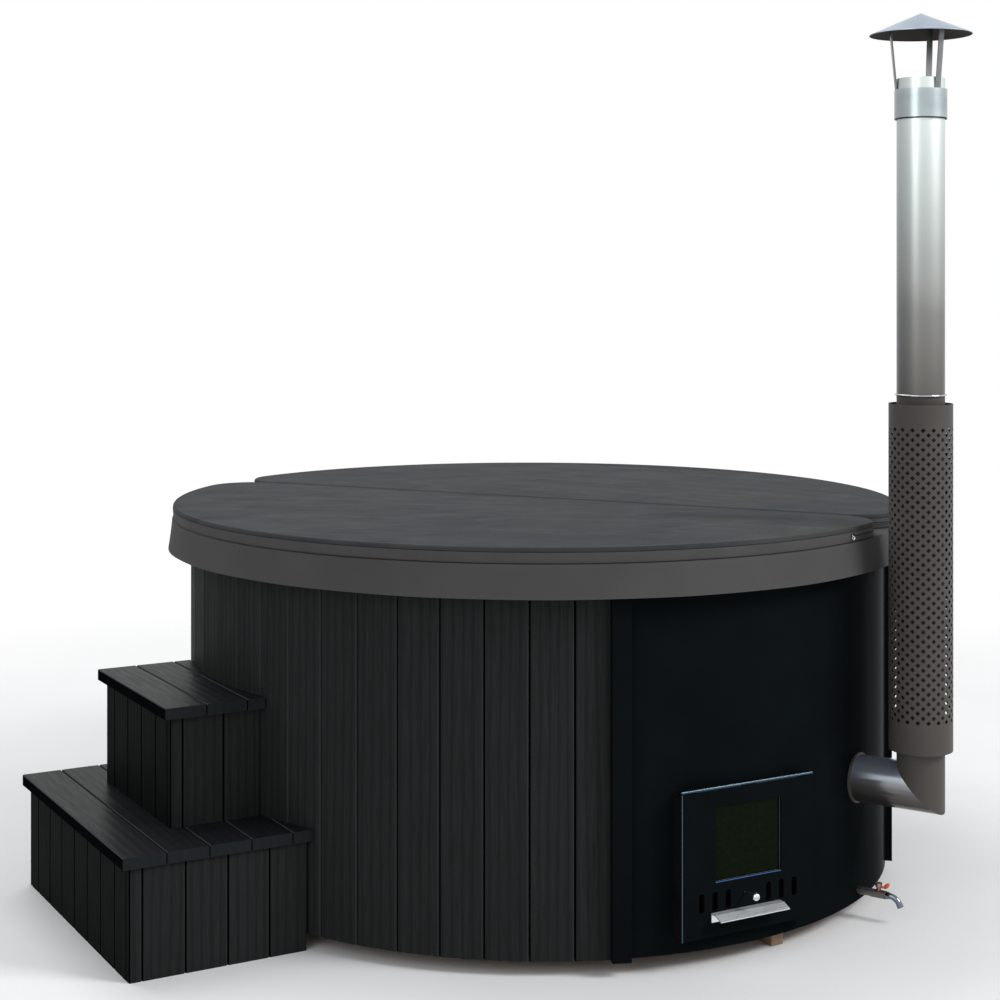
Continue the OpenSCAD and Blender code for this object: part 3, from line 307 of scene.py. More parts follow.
def paint_look(finish, colour, rough, mottle, speck, depth, scale):
    """Sprayed coat: faint cloudiness, orange peel and a little dust."""
    f = finish
    cloud = f.noise(5.0, 4.0, 0.6)
    peel = f.noise(scale, 2.0, 0.5)
    tone = f.mottled(cloud, colour, mottle)
    if speck:
        dust = f.noise(scale * 3.1, 1.0, 0.5)
        tone = f.mix(f.between(dust, 0.62, 0.8, 0.0, speck), tone, tinted(colour, 2.2))
    f.put(Base_Color=tone, Roughness=f.spread(cloud, rough * 0.88, rough * 1.12))
    f.put(Normal=f.bump(peel, depth, 0.25))
    return tone


def painted(name, colour, *look, specular=0.5):
    """Material of one sprayed or moulded coat."""
    f = Finish(name, specular=specular)
    paint_look(f, colour, *look)
    return f.material


# ---- the finishes


def cladding_finish(c):
    """Boards round the tub, each with painted shade on the bevel on its left and a painted
    highlight on the one on its right.
    """
    f = Finish("stained_cladding", specular=0.02)
    x, y, z = f.axes()
    turn, reach = f.turn(), f.reach()
    board = f.random(board_index(f, turn, FIRST_BOARD, BOARD_TURN), 3.0, 1.0)
    across = f.product(turn, TUB_RADIUS * math.pi / 180)
    tone = wood_look(f, c.boards, across, reach, z, board)
    nx, ny, _ = f.facing()
    spin = f.math("DIVIDE", f.math("SUBTRACT", f.product(ny, x), f.product(nx, y)), reach)
    bevel = 0.2
    # Painted highlight on bevels that turn right, painted shade on bevels that turn left.
    tone = f.mix(f.math("GREATER_THAN", spin, bevel), tone, tinted(c.boards, 1.7))
    f.put(Base_Color=f.mix(f.math("LESS_THAN", spin, -bevel), tone, (0.0008, 0.0008, 0.0008)))
    return f.material


def step_finish(name, colour, x_start, y_start, along_y, rough=(0.5, 0.7)):
    """Stained boards of a step, upright or along Y, with painted shade on their left faces and on
    the bevels between boards, painted highlights on the upper and right-turning bevels, and painted
    light on the treads' front faces.
    """
    f = Finish(name, specular=0.01)
    x, y, z = f.axes()
    column = board_index(f, x, x_start - STEP_BACK, STEP_BOARD)
    if along_y:
        grain, board = (x, z, y), f.random(column, 5.0, 2.0)
    else:
        grain = f.math("ADD", x, y), f.math("SUBTRACT", x, y), z
        board = f.random(column, board_index(f, y, y_start - STEP_BACK, STEP_BOARD), 7.0)
    tone = wood_look(f, colour, *grain, board, rough=rough)
    nx, ny, nz = f.facing()
    faces, bevelled, dark = 0.9, 0.97, 0.72
    # Painted shade: faces that turn to the left are darkened towards black.
    tone = f.mix(f.product(f.math("LESS_THAN", nx, -faces), dark), tone, (0.0, 0.0, 0.0))
    if along_y:
        # Painted highlight on the treads' upper bevels, and painted light that makes their front
        # faces paler.
        slant = f.math("LESS_THAN", f.math("ABSOLUTE", nz), bevelled)
        rim = f.product(slant, f.math("GREATER_THAN", nz, 0.2))
        pale = f.mix(0.5, tone, tinted(colour, 2.6))
        tone = f.mix(f.math("LESS_THAN", ny, -faces), tone, pale)
        f.put(Base_Color=f.mix(rim, tone, tinted(colour, 5.0)))
        f.put(Specular_IOR_Level=f.between(nz, 0.8, faces, 0.0, 0.05))
    else:
        # Painted shade on the bevels between the boards, and a painted highlight on those that turn
        # right.
        square = f.math("MAXIMUM", f.math("ABSOLUTE", nx), f.math("ABSOLUTE", ny))
        slant = f.math("LESS_THAN", square, bevelled)
        lit = f.product(slant, f.math("GREATER_THAN", nx, 0.0))
        tone = f.mix(slant, tone, (0.001, 0.001, 0.001))
        f.put(Base_Color=f.mix(lit, tone, tinted(colour, 1.8)))
    return f.material


def timber_finish(name, colour, contrast, along="Z"):
    """Bare or oiled timber with its grain along Z or Y."""
    f = Finish(name, specular=0.15)
    x, y, z = f.axes()
    grain = {"Z": (x, y, z), "Y": (x, z, y)}[along]
    first_board, board_pitch = -2.0, 0.33
    board = f.random(board_index(f, x, first_board, board_pitch), 1.0, 1.0)
    wood_look(f, colour, *grain, board, contrast, (0.6, 0.8))
    return f.material


def bench_finish():
    """Boards that run round the inside, in rows from the wall inwards."""
    f = Finish("bench_wood")
    turn, reach, z = f.turn(), f.reach(), f.axes()[2]
    first_row, row_pitch, metres_per_degree = 0.48, 0.1169, 0.0115
    first_turn, segment_turn = 68.0, 32.0
    row = board_index(f, reach, first_row, row_pitch)
    board = f.random(row, board_index(f, turn, first_turn, segment_turn), 1.0)
    along = f.product(turn, metres_per_degree)
    wood_look(f, BENCH_WOOD, reach, z, along, board, 0.3, (0.45, 0.6))
    return f.material


def panel_finish(name, c, rough=0.17, edge=None, sill=0.0, half=0.0):
    """Dark enamel; a door's left edge and its window's sill carry a painted bluish highlight."""
    f = Finish(name, specular=0.0008)
    tone = paint_look(f, c.panel, rough, 0.12, 0.12, 0.00012, 260.0)
    if edge is not None:
        x, _, z = f.axes()
        front = f.math("LESS_THAN", f.facing()[1], -0.9)
        edge_width, sill_drop, sill_half = 0.002, 0.0009, 0.0012
        # Painted highlight: thin bluish lines on the front face along the door's left edge and
        # along the window's sill.
        edge_highlight = f.product(front, f.math("LESS_THAN", x, edge + edge_width))
        tone = f.mix(edge_highlight, tone, (0.07, 0.12, 0.16))
        line = f.product(f.math("COMPARE", z, sill - sill_drop, sill_half),
                         f.math("LESS_THAN", f.math("ABSOLUTE", x), half))
        f.put(Base_Color=f.mix(f.product(front, line), tone, (0.05, 0.12, 0.30)))
    long_wave = f.noise((2.2, 2.2, 0.7), 2.0, 0.5)
    f.put(Normal=f.bump(long_wave, 0.0015, 0.3))
    return f.material


def coated_sheet_finish(c, top, fold):
    """Coated sheet: leather grain, creases with a painted bluish reflection in them, and lighter,
    warmer patches; a side tone below the top's piped edge.
    """
    f = Finish("cover_sheet", specular=0.08)
    red, green, blue = c.cover_top
    x, y, z = f.axes()
    grain = f.cells(520.0)
    soft = f.noise(9.0, 5.0, 0.6, 0.3)
    crease = f.noise((2.6, 9.0, 9.0), 5.0, 0.6, 1.1)
    broad = f.noise((1.3, 3.2, 3.2), 4.0, 0.55, 0.6)
    tone = f.mottled(soft, c.cover_top, 0.1)
    # Lighter, warmer patches in a broad pattern.
    warm_pale = (red * 1.28, green * 1.2, blue * 1.1)
    tone = f.mix(f.between(broad, 0.40, 0.62), tone, warm_pale)
    # Painted reflection: a darker bluish tone along the creases.
    bluish = (red * 0.62, green * 0.74, blue * 0.84)
    tone = f.mix(f.between(crease, 0.54, 0.70, 0.0, 0.62), tone, bluish)
    tone = f.mix(f.between(grain, 0.35, 0.7, 0.0, 0.2), tone, tinted(c.cover_top, 0.6))
    weave = f.mottled(soft, c.cover_side, 0.08)
    side_drop, top_drop, piping_drop = 0.0098, 0.0084, 0.0088
    piping_half, seam_half = 0.0011, 0.0048
    tone = f.mix(f.between(z, top - side_drop, top - top_drop), weave, tone)
    piping = f.math("COMPARE", z, top - piping_drop, piping_half)
    off = f.math("ADD", f.product(x, math.cos(fold)), f.product(y, math.sin(fold)))
    seam = f.math("LESS_THAN", f.math("ABSOLUTE", off), seam_half)
    tone = f.mix(f.product(f.math("MAXIMUM", piping, seam), 0.8), tone, SOFT_BLACK)
    folds = f.bump(crease, 0.006, 0.3)
    return f.dressed(tone, f.spread(soft, 0.70, 0.86), f.bump(grain, 0.0004, 0.3, folds))


def skirt_finish(colour):
    """The side's sheet: fine leather grain, even in tone."""
    f = Finish("cover_skirt", specular=0.06)
    grain = f.cells(620.0)
    soft = f.noise(4.0, 3.0, 0.55)
    tone = f.mix(f.between(soft, 0.35, 0.65), tinted(colour, 0.93), tinted(colour, 1.06))
    tone = f.mix(f.between(grain, 0.4, 0.7, 0.0, 0.15), tone, tinted(colour, 0.7))
    return f.dressed(tone, f.spread(soft, 0.72, 0.84), f.bump(grain, 0.0003, 0.3))


def zip_finish():
    """Black zip tape with its row of teeth."""
    f = Finish("zip_tape", specular=0.2)
    teeth_per_degree = 7.5
    teeth = f.math("FRACT", f.product(f.turn(), teeth_per_degree))
    grain = f.noise(900.0, 2.0)
    tone = f.mix(f.math("GREATER_THAN", teeth, 0.5), (0.006, 0.006, 0.007), (0.022, 0.022, 0.024))
    tone = f.mix(f.spread(grain, 0.0, 0.4), tone, (0.012, 0.012, 0.012))
    return f.dressed(tone, 0.6, f.bump(teeth, 0.001, 0.5))


def brushed_finish(name, colour, rough, along, metal=1.0, shade=0.12, relief=0.12):
    """Brushed or rolled metal, its fine lines along one axis."""
    f = Finish(name, metal=metal)
    lines = f.noise(along, 4.0, 0.6)
    cloud = f.noise(7.0, 4.0, 0.6)
    tone = f.mottled(cloud, colour, shade)
    return f.dressed(tone, f.spread(lines, rough * 0.75, rough * 1.3),
                     f.bump(lines, 0.0002, relief))


def painted_flank_shade(f, tone):
    """Pipe wall with painted shade towards its two flanks in the camera's view, the left one more.
    """
    nx, ny, _ = f.facing()
    across = f.math("SUBTRACT", f.product(nx, VIEW_RIGHT[0]), f.product(ny, VIEW_RIGHT[1]))
    left = f.between(f.product(across, -1.0), 0.25, 1.0, 0.0, 0.5)
    right = f.between(across, 0.55, 1.0, 0.0, 0.3)
    return f.mix(f.math("ADD", left, right), tone, (0.02, 0.03, 0.04))


def chimney_finish():
    """Upper pipe: bare brushed steel with a painted reflection, pale and bluish near its top and
    darker towards the joint below, and painted shade on its flanks.
    """
    f = Finish("chimney_steel", metal=0.85)
    lines = f.noise((6.0, 6.0, 700.0), 4.0, 0.6)
    blotches = f.noise((3.0, 3.0, 1.2), 3.0, 0.5)
    # Painted reflection by height: dark low on the pipe, pale and bluish near its top, the bands
    # blurred by a noise.
    height = f.math("ADD", f.axes()[2], f.product(blotches, 0.16))
    low = f.mix(f.between(height, 1.40, 1.70), (0.125, 0.117, 0.106), (0.275, 0.278, 0.268))
    tone = f.mix(f.between(height, 1.62, 2.12), low, (0.74, 0.82, 0.80))
    return f.dressed(painted_flank_shade(f, tone), f.spread(lines, 0.3, 0.38),
                     f.bump(lines, 0.0001, 0.06))


def sleeve_finish():
    """Cap sleeve: bright steel with a painted shadow round its lower edge and painted shade on its
    flanks.
    """
    f = Finish("sleeve_steel", metal=0.95)
    cloud = f.noise((6.0, 6.0, 11.0), 2.0, 0.5)
    tone = f.mix(f.between(cloud, 0.35, 0.65), (0.40, 0.46, 0.48), (0.60, 0.66, 0.67))
    # Painted shadow: a near-black band round the sleeve's lower edge.
    hem_height = 0.003
    hem = f.math("LESS_THAN", f.axes()[2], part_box("cap_sleeve")[0].z + hem_height)
    tone = f.mix(hem, painted_flank_shade(f, tone), (0.012, 0.012, 0.012))
    fine = f.noise((8.0, 8.0, 60.0), 3.0, 0.5)
    return f.dressed(tone, f.spread(cloud, 0.26, 0.34), f.bump(fine, 0.0001, 0.05))


def flue_finish():
    """Bare rolled pipe out of the stove, with a painted reflection: bluish where it faces up, dark
    brownish where it faces down.
    """
    f = Finish("flue_steel", metal=0.72)
    lines = f.noise((6.0, 6.0, 40.0), 3.0, 0.5)
    patchiness = f.noise(12.0, 3.0, 0.6)
    # Painted reflection by facing, its border blurred by a noise.
    up = f.math("ADD", f.facing()[2], f.product(patchiness, 0.2))
    low = f.mix(f.between(up, -0.45, 0.1), (0.085, 0.079, 0.074), (0.20, 0.19, 0.185))
    tone = f.mix(f.between(up, 0.05, 0.75), low, (0.40, 0.46, 0.54))
    return f.dressed(tone, f.spread(lines, 0.12, 0.2), f.bump(lines, 0.0003, 0.2))


def cap_finish():
    """Rain cap: steel with a painted bluish reflection where it faces up, and soot darkened by
    painted shade where it faces down.
    """
    f = Finish("cap_steel", specular=0.1)
    blotches = f.noise(14.0, 4.0, 0.6)
    # Soot with painted shade for faces that turn down; a painted bluish reflection for those that
    # turn up.
    soot = f.mix(f.spread(blotches), (0.024, 0.021, 0.018), (0.036, 0.032, 0.028))
    bright = f.mix(f.spread(blotches), (0.28, 0.35, 0.44), (0.40, 0.47, 0.56))
    over = f.math("GREATER_THAN", f.facing()[2], -0.2)
    f.put(Base_Color=f.mix(over, soot, bright), Metallic=f.product(over, 0.9))
    f.put(Roughness=f.between(over, 0.0, 1.0, 0.75, 0.3))
    return f.material


def glass_finish():
    """Sooty window glass."""
    f = Finish("stove_glass", specular=0.03)
    soot = f.noise((60.0, 60.0, 110.0), 5.0, 0.7)
    tone = f.mix(f.between(soot, 0.35, 0.68), (0.0018, 0.0042, 0.0012), (0.0042, 0.0078, 0.0022))
    return f.dressed(tone, f.spread(soot, 0.04, 0.12), f.bump(soot, 0.0004, 0.1))


def foam_finish():
    f = Finish("insulating_foam")
    cells = f.cells(160.0)
    tone = f.mix(f.between(cells, 0.1, 0.7), (0.62, 0.55, 0.36), (0.78, 0.72, 0.52))
    return f.dressed(tone, 0.9, f.bump(cells, 0.003, 0.5))


def rope_finish():
    f = Finish("glass_rope")
    braid = f.wave(f.place, 300.0, 2.0)
    tone = f.mix(braid, (0.12, 0.115, 0.11), (0.30, 0.29, 0.27))
    return f.dressed(tone, 0.95, f.bump(braid, 0.002, 0.5))


def plastic_finish(name, colour, rough):
    return painted(name, colour, rough, 0.08, 0.0, 0.0002, 700.0)


def chimney_paint(name, c):
    return painted(name, c.chimney, 0.5, 0.08, 0.2, 0.0004, 520.0, specular=0.14)


def set_finish(material, *names):
    for name in names:
        slots = NODES[name].material_slots
        for slot in slots:
            slot.material = material
        if not slots:
            NODES[name].data.materials.append(material)


# ---- modelling helpers


def deselect():
    if bpy.context.mode != "OBJECT":
        bpy.ops.object.mode_set(mode="OBJECT")
    bpy.ops.object.select_all(action="DESELECT")


def only(piece):
    deselect()
    piece.select_set(True)
    bpy.context.view_layer.objects.active = piece


@contextmanager
def editing(select=None):
    """Edit mode on the active piece, first with all of it selected where that is asked."""
    bpy.ops.object.mode_set(mode="EDIT")
    if select:
        bpy.ops.mesh.select_all(action=select)
    yield
    bpy.ops.object.mode_set(mode="OBJECT")


def named(name):
    piece = bpy.context.active_object
    piece.name = name
    piece.data.name = name
    return piece


def apply_modifiers(piece):
    only(piece)
    for modifier in list(piece.modifiers):
        bpy.ops.object.modifier_apply(modifier=modifier.name)


def walled(piece, name, thickness, offset):
    """Gives an open surface its thickness."""
    walls = piece.modifiers.new(name, "SOLIDIFY")
    walls.thickness = thickness
    walls.offset = offset


def finished(piece, body, material, smooth, stands_for=()):
    """Settles a piece's place in its mesh, then gives it its finish and the body it rides on."""
    apply_modifiers(piece)
    bpy.ops.object.transform_apply(location=True, rotation=True, scale=True)
    bpy.ops.object.shade_smooth_by_angle(angle=math.radians(smooth))
    piece.data.materials.clear()
    piece.data.materials.append(material)
    if stands_for:
        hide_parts(*stands_for)
    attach(piece, body)
    deselect()


def mesh_piece(name, points, faces):
    mesh = bpy.data.meshes.new(name)
    mesh.from_pydata([tuple(p) for p in points], [], faces)
    mesh.update()
    piece = bpy.data.objects.new(name, mesh)
    bpy.context.scene.collection.objects.link(piece)
    only(piece)
    with editing("SELECT"):
        bpy.ops.mesh.normals_make_consistent(inside=False)
    return piece


def arc(middle, radius, start, sweep, steps, first=1, last=None):
    """Points first to last of an arc that is cut into steps."""
    turns = (start + sweep * i / steps for i in range(first, (last or steps) + 1))
    return [(middle[0] + radius * math.cos(a), middle[1] + radius * math.sin(a)) for a in turns]


def evenly(path, steps, count):
    """The first count points of a path that is cut into equal steps."""
    gaps = [math.dist(a, b) for a, b in zip(path, path[1:])]
    total, even, done, k = sum(gaps), [], 0.0, 0
    for i in range(count):
        want = total * i / steps
        while k < len(gaps) - 1 and done + gaps[k] < want:
            done += gaps[k]
            k += 1
        share = min(1.0, (want - done) / gaps[k])
        even.append(tuple(p + (q - p) * share for p, q in zip(path[k], path[k + 1])))
    return even


def heading(before, after):
    """Unit step from one point of a path towards another."""
    ds, dn = after[0] - before[0], after[1] - before[1]
    size = math.hypot(ds, dn)
    return ds / size, dn / size


def inward(loop, distance):
    """A closed loop moved to its inner side."""
    moved = []
    for i, (s, n) in enumerate(loop):
        ds, dn = heading(loop[i - 1], loop[(i + 1) % len(loop)])
        moved.append((s - dn * distance, n + ds * distance))
    return moved


def fold_axes(side):
    """Directions along the cover's fold, and off it into one half."""
    turn = sizes("cover_sizes").fold_turn
    along = Vector((math.sin(turn), -math.cos(turn), 0))
    return along, Vector((math.cos(turn), math.sin(turn), 0)) * side


def corner_centre(corner):
    """Centre of a half's rounded corner, along and off the fold, and its turn from the fold."""
    n = HALF_GAP + corner
    s = math.sqrt((RIM - corner) ** 2 - n**2)
    return s, n, math.atan2(n, s)


# ---- operators


class HOTTUB_OT_stage(bpy.types.Operator):
    """Sets up the pale floor, the soft lamps, the white background and the camera"""

    bl_idname = "hottub.stage"
    bl_label = "Stage"

    def lamp(self, name, place, size, watts, height):
        """Square lamp, turned to the tub's axis at a height."""
        light = bpy.data.lights.new(name, "AREA")
        light.size = size
        light.energy = watts
        lamp = bpy.data.objects.new(name, light)
        bpy.context.scene.collection.objects.link(lamp)
        lamp.location = place
        way = Vector((0, 0, height)) - Vector(place)
        lamp.rotation_euler = way.to_track_quat("-Z", "Y").to_euler()

    def floor(self):
        """Pale disc that fades into the white of the background."""
        deselect()
        bpy.ops.mesh.primitive_circle_add(vertices=96, radius=14, fill_type="NGON")
        floor = named("studio_floor")
        f = Finish("studio_floor", specular=0.1)
        reach = f.fed("ShaderNodeVectorMath", "Value", {0: f.place}, operation="LENGTH")
        cloud = f.noise(1.5, 3.0, 0.5)
        tone = f.mix(f.spread(cloud), (0.80, 0.80, 0.80), (0.84, 0.84, 0.84))
        f.put(Base_Color=tone, Roughness=0.9)
        ray = f.add("ShaderNodeLightPath").outputs
        seen = f.math("MAXIMUM", ray["Is Camera Ray"], ray["Is Glossy Ray"])
        fade_start, fade_end = 1.6, 4.2
        share = f.product(seen, f.between(reach, fade_start, fade_end))
        white = f.add("ShaderNodeEmission").outputs[0]
        blend = f.fed("ShaderNodeMixShader", 0, {0: share, 1: f.shader.outputs[0], 2: white})
        out = next(n for n in f.tree.nodes if n.type == "OUTPUT_MATERIAL")
        f.tree.links.new(blend, out.inputs["Surface"])
        floor.data.materials.append(f.material)

    def world(self):
        """White to the eye, in reflections and through glass, and a cool light elsewhere."""
        world = bpy.data.worlds.new("soft_white")
        bpy.context.scene.world = world
        world.use_nodes = True
        tree = world.node_tree
        tree.nodes.clear()
        new, link = tree.nodes.new, tree.links.new
        blend, ray = new("ShaderNodeMixShader"), new("ShaderNodeLightPath").outputs
        for socket, colour, strength in ((1, (0.93, 0.96, 1.0, 1), 0.55), (2, (1, 1, 1, 1), 1.0)):
            light = new("ShaderNodeBackground")
            light.inputs["Color"].default_value = colour
            light.inputs["Strength"].default_value = strength
            link(light.outputs[0], blend.inputs[socket])
        seen = ray["Is Camera Ray"]
        for kind in ("Is Glossy Ray", "Is Transmission Ray"):
            either = new("ShaderNodeMath")
            either.operation = "MAXIMUM"
            link(seen, either.inputs[0])
            link(ray[kind], either.inputs[1])
            seen = either.outputs[0]
        link(seen, blend.inputs[0])
        link(blend.outputs[0], new("ShaderNodeOutputWorld").inputs["Surface"])

    def execute(self, context):
        scene = context.scene
        scene.view_settings.view_transform = "Standard"
        self.floor()
        self.world()
        self.lamp("key_softbox", (3.6, -5.2, 5.0), 2.6, 350, 0.9)
        self.lamp("fill_softbox", (-5.5, -3.2, 3.4), 3.2, 70, 0.6)
        self.lamp("top_softbox", (-1.0, 2.5, 6.0), 4.0, 160, 0.9)
        camera = bpy.data.cameras.new("photo_camera")
        camera.sensor_width = 36
        camera.lens = 67.63
        camera.shift_x = 0.019
        camera.shift_y = -0.220
        eye = bpy.data.objects.new("photo_camera", camera)
        scene.collection.objects.link(eye)
        eye.location = (-2.7582, -4.6395, 1.641)
        eye.rotation_euler = (math.radians(90), 0, math.radians(-29.1))
        scene.camera = eye
        return {"FINISHED"}


class HOTTUB_OT_boards(bpy.types.Operator):
    """Finishes the cladding, the timbers, the liner and the bench"""

    bl_idname = "hottub.boards"
    bl_label = "Tub and Boards"

    def execute(self, context):
        set_finish(cladding_finish(sizes("tub_colours")), "cladding_boards")
        set_finish(timber_finish("bare_timber", BARE_TIMBER, 0.45, "Y"), "base_timbers",
                   "floor_deck", "wall_hoops", "top_ring", "panel_battens")
        set_finish(foam_finish(), "insulation")
        gel_coat = painted("composite_liner", (0.30, 0.325, 0.335), 0.28, 0.06, 0.35, 0.0003, 420.0)
        set_finish(gel_coat, "liner")
        set_finish(bench_finish(), "bench_boards", "bench_supports")
        set_finish(timber_finish("fence_wood", BENCH_WOOD, 0.3), "stove_fence")
        return {"FINISHED"}


class HOTTUB_OT_heater(bpy.types.Operator):
    """Finishes the heater panel, the stove, its door and the door's fittings"""

    bl_idname = "hottub.heater"
    bl_label = "Heater Panel and Door"

    def execute(self, context):
        c = sizes("tub_colours")
        set_finish(panel_finish("panel_enamel", c), "heater_panel", "panel_bars")
        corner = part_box("door_plate")[0]
        sill_height, half_window = 0.129, 0.0975
        door = panel_finish("door_enamel", c, 0.24, corner.x, corner.z + sill_height, half_window)
        set_finish(door, "door_plate")
        iron = painted("stove_iron", (0.0042, 0.0042, 0.0045), 0.68, 0.3, 0.3, 0.0008, 300.0,
                       specular=0.05)
        set_finish(iron, "stove_box", "stove_grate", "door_frame", "glass_retainer")
        # Painted shade: the baffle is darker than the stove's iron, so the air slots in front of it
        # read as shaded.
        shaded = painted("baffle_painted_shade", (0.0009, 0.0009, 0.001), 0.8, 0.3, 0.3, 0.0004, 300.0,
                         specular=0.0)
        set_finish(shaded, "air_baffle")
        set_finish(glass_finish(), "door_glass")
        set_finish(rope_finish(), "door_seals")
        set_finish(brushed_finish("door_steel", tinted(c.steel, 1.15), 0.22, (8.0, 160.0, 160.0)),
                   "door_screws", "air_rod", "air_knob")
        set_finish(brushed_finish("handle_steel", (0.86, 0.89, 0.92), 0.3, (6.0, 90.0, 90.0), 0.7,
                                  0.04, 0.03), "door_handle")
        set_finish(brushed_finish("hinge_steel", (0.045, 0.07, 0.09), 0.3, (90.0, 8.0, 8.0)),
                   "hinge_frame_leaf", "hinge_door_leaf", "hinge_pin")
        return {"FINISHED"}


class HOTTUB_OT_chimney(bpy.types.Operator):
    """Finishes the flue and chimney pipes, the locking band and the rain cap"""

    bl_idname = "hottub.chimney"
    bl_label = "Chimney"

    def execute(self, context):
        c = sizes("tub_colours")
        set_finish(chimney_paint("chimney_paint", c), "chimney_elbow", "chimney_pipe_lower",
                   "guard_spacers", "flue_collar")
        set_finish(chimney_finish(), "chimney_pipe_upper")
        set_finish(flue_finish(), "flue_side_leg", "flue_stub")
        set_finish(brushed_finish("band_steel", tinted(c.steel, 0.9), 0.14, EVEN_BRUSH),
                   "locking_band")
        set_finish(sleeve_finish(), "cap_sleeve")
        set_finish(brushed_finish("strut_steel", tinted(c.steel, 0.33), 0.35, (60.0, 60.0, 8.0)),
                   "cap_struts")
        set_finish(cap_finish(), "rain_cap")
        return {"FINISHED"}


class HOTTUB_OT_guard(bpy.types.Operator):
    """Models the perforated heat guard from one cell with its diamond hole"""

    bl_idname = "hottub.guard"
    bl_label = "Heat Guard"

    def execute(self, context):
        g = sizes("guard_sizes")
        low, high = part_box("heat_guard")
        chimney = centre("chimney_pipe_upper")
        radius = (high.x - low.x) / 2
        sheet, merge = 0.0015, 0.0004
        deselect()
        bpy.ops.mesh.primitive_circle_add(vertices=4, radius=1.0, fill_type="NGON",
                                          rotation=(math.radians(90), 0, 0))
        cell = named("guard_cell")
        bpy.ops.object.transform_apply(location=False, rotation=True, scale=True)
        with editing("SELECT"):
            bpy.ops.mesh.inset(thickness=0.2)
            bpy.ops.mesh.delete(type="ONLY_FACE")
        # Cell corners and hole corners, in turns round the guard and metres up it
        wide = 2 * math.pi / g.holes
        cell_half = (wide / 2, g.row_pitch)
        hole_half = (g.hole / 2 / radius, g.hole / 2)
        for v in cell.data.vertices:
            half = cell_half if max(abs(v.co.x), abs(v.co.z)) > 0.95 else hole_half
            sx, sz = (0 if abs(part) < 0.1 else math.copysign(1, part) for part in (v.co.x, v.co.z))
            v.co = (half[0] * sx, 0, half[1] * sz)
        for count, offset in ((g.holes, (wide, 0, 0)), (g.rows // 2, (0, 0, -2 * g.row_pitch)),
                              (2, (wide / 2, 0, -g.row_pitch))):
            array = cell.modifiers.new("row", "ARRAY")
            array.count = count
            array.use_relative_offset = False
            array.use_constant_offset = True
            array.constant_offset_displace = offset
            array.use_merge_vertices = True
            array.merge_threshold = merge
        apply_modifiers(cell)
        for v in cell.data.vertices:
            turn, up = v.co.x, v.co.z + g.first_row
            v.co = (chimney.x + radius * math.sin(turn), chimney.y - radius * math.cos(turn), up)
        with editing("SELECT"):
            bpy.ops.mesh.remove_doubles(threshold=merge)
            bpy.ops.mesh.select_all(action="DESELECT")
        # The outermost points are drawn out to a level line, and from there to the guard's end
        last_row = g.first_row - (g.rows - 1) * g.row_pitch
        level, slack, least_rise = 0.0159, 0.0001, 0.007
        for edge_z, to_z, side in ((g.first_row, high.z, 1), (last_row, low.z, -1)):
            only(cell)
            used = Counter(key for polygon in cell.data.polygons for key in polygon.edge_keys)
            for edge in cell.data.edges:
                past = [(cell.data.vertices[i].co.z - edge_z) * side for i in edge.vertices]
                rim = min(past) > -slack and max(past) > least_rise
                edge.select = rim and used[tuple(sorted(edge.vertices))] == 1
            bpy.context.tool_settings.mesh_select_mode = (False, True, False)
            with editing():
                bpy.ops.mesh.extrude_region_move(
                    TRANSFORM_OT_translate={"value": (0, 0, side * level)})
            for v in cell.data.vertices:
                if v.select:
                    v.co.z = edge_z + side * level
            with editing():
                bpy.ops.mesh.extrude_region_move(
                    TRANSFORM_OT_translate={"value": (0, 0, to_z - edge_z - side * level)})
        bpy.context.tool_settings.mesh_select_mode = (True, False, False)
        with editing("SELECT"):
            bpy.ops.mesh.normals_make_consistent(inside=False)
        walled(cell, "sheet", sheet, -1)
        cell.name = cell.data.name = "perforated_guard"
        coat = chimney_paint("guard_paint", sizes("tub_colours"))
        finished(cell, "tub", coat, 40.0, ["heat_guard"])
        return {"FINISHED"}


class HOTTUB_OT_drain(bpy.types.Operator):
    """Finishes the drain pipe and its valve, and models the dipped grip of the lever"""

    bl_idname = "hottub.drain"
    bl_label = "Drain"

    def grip(self, material):
        """Plump coating round the lever's blade."""
        stem = centre("valve_ball")
        spots = [v.co for v in NODES["valve_lever"].data.vertices]
        top, bottom = max(p.z for p in spots), min(p.z for p in spots)
        tip_height, past_stem = 0.004, 0.0145
        ends = [p for p in spots if p.z > top - tip_height]
        tip = sum(ends, Vector()) / len(ends)
        way = Vector((tip.x - stem.x, tip.y - stem.y, 0)).normalized()
        root = Vector((stem.x, stem.y, bottom)) + way * past_stem
        run = tip - root
        past_tip, half_wide, half_thick = 0.0012, 0.0062, 0.0052
        deselect()
        bpy.ops.mesh.primitive_uv_sphere_add(segments=32, ring_count=18, radius=1)
        piece = named("lever_grip")
        piece.scale = (run.length / 2 + past_tip, half_wide, half_thick)
        piece.location = (root + tip) / 2
        piece.rotation_euler = run.to_track_quat("X", "Z").to_euler()
        finished(piece, "drain_valve", material, 60.0)

    def execute(self, context):
        set_finish(brushed_finish("valve_metal", (0.17, 0.16, 0.15), 0.4, EVEN_BRUSH), "valve_body",
                   "drain_pipe")
        set_finish(brushed_finish("spout_chrome", (0.17, 0.20, 0.24), 0.1, (40.0, 40.0, 40.0),
                                  shade=0.04), "drain_spout", "drain_strainer")
        set_finish(brushed_finish("nut_steel", (0.30, 0.29, 0.28), 0.3, EVEN_BRUSH), "valve_ball")
        orange = plastic_finish("lever_plastic", sizes("tub_colours").lever, 0.38)
        set_finish(orange, "valve_lever")
        self.grip(orange)
        return {"FINISHED"}


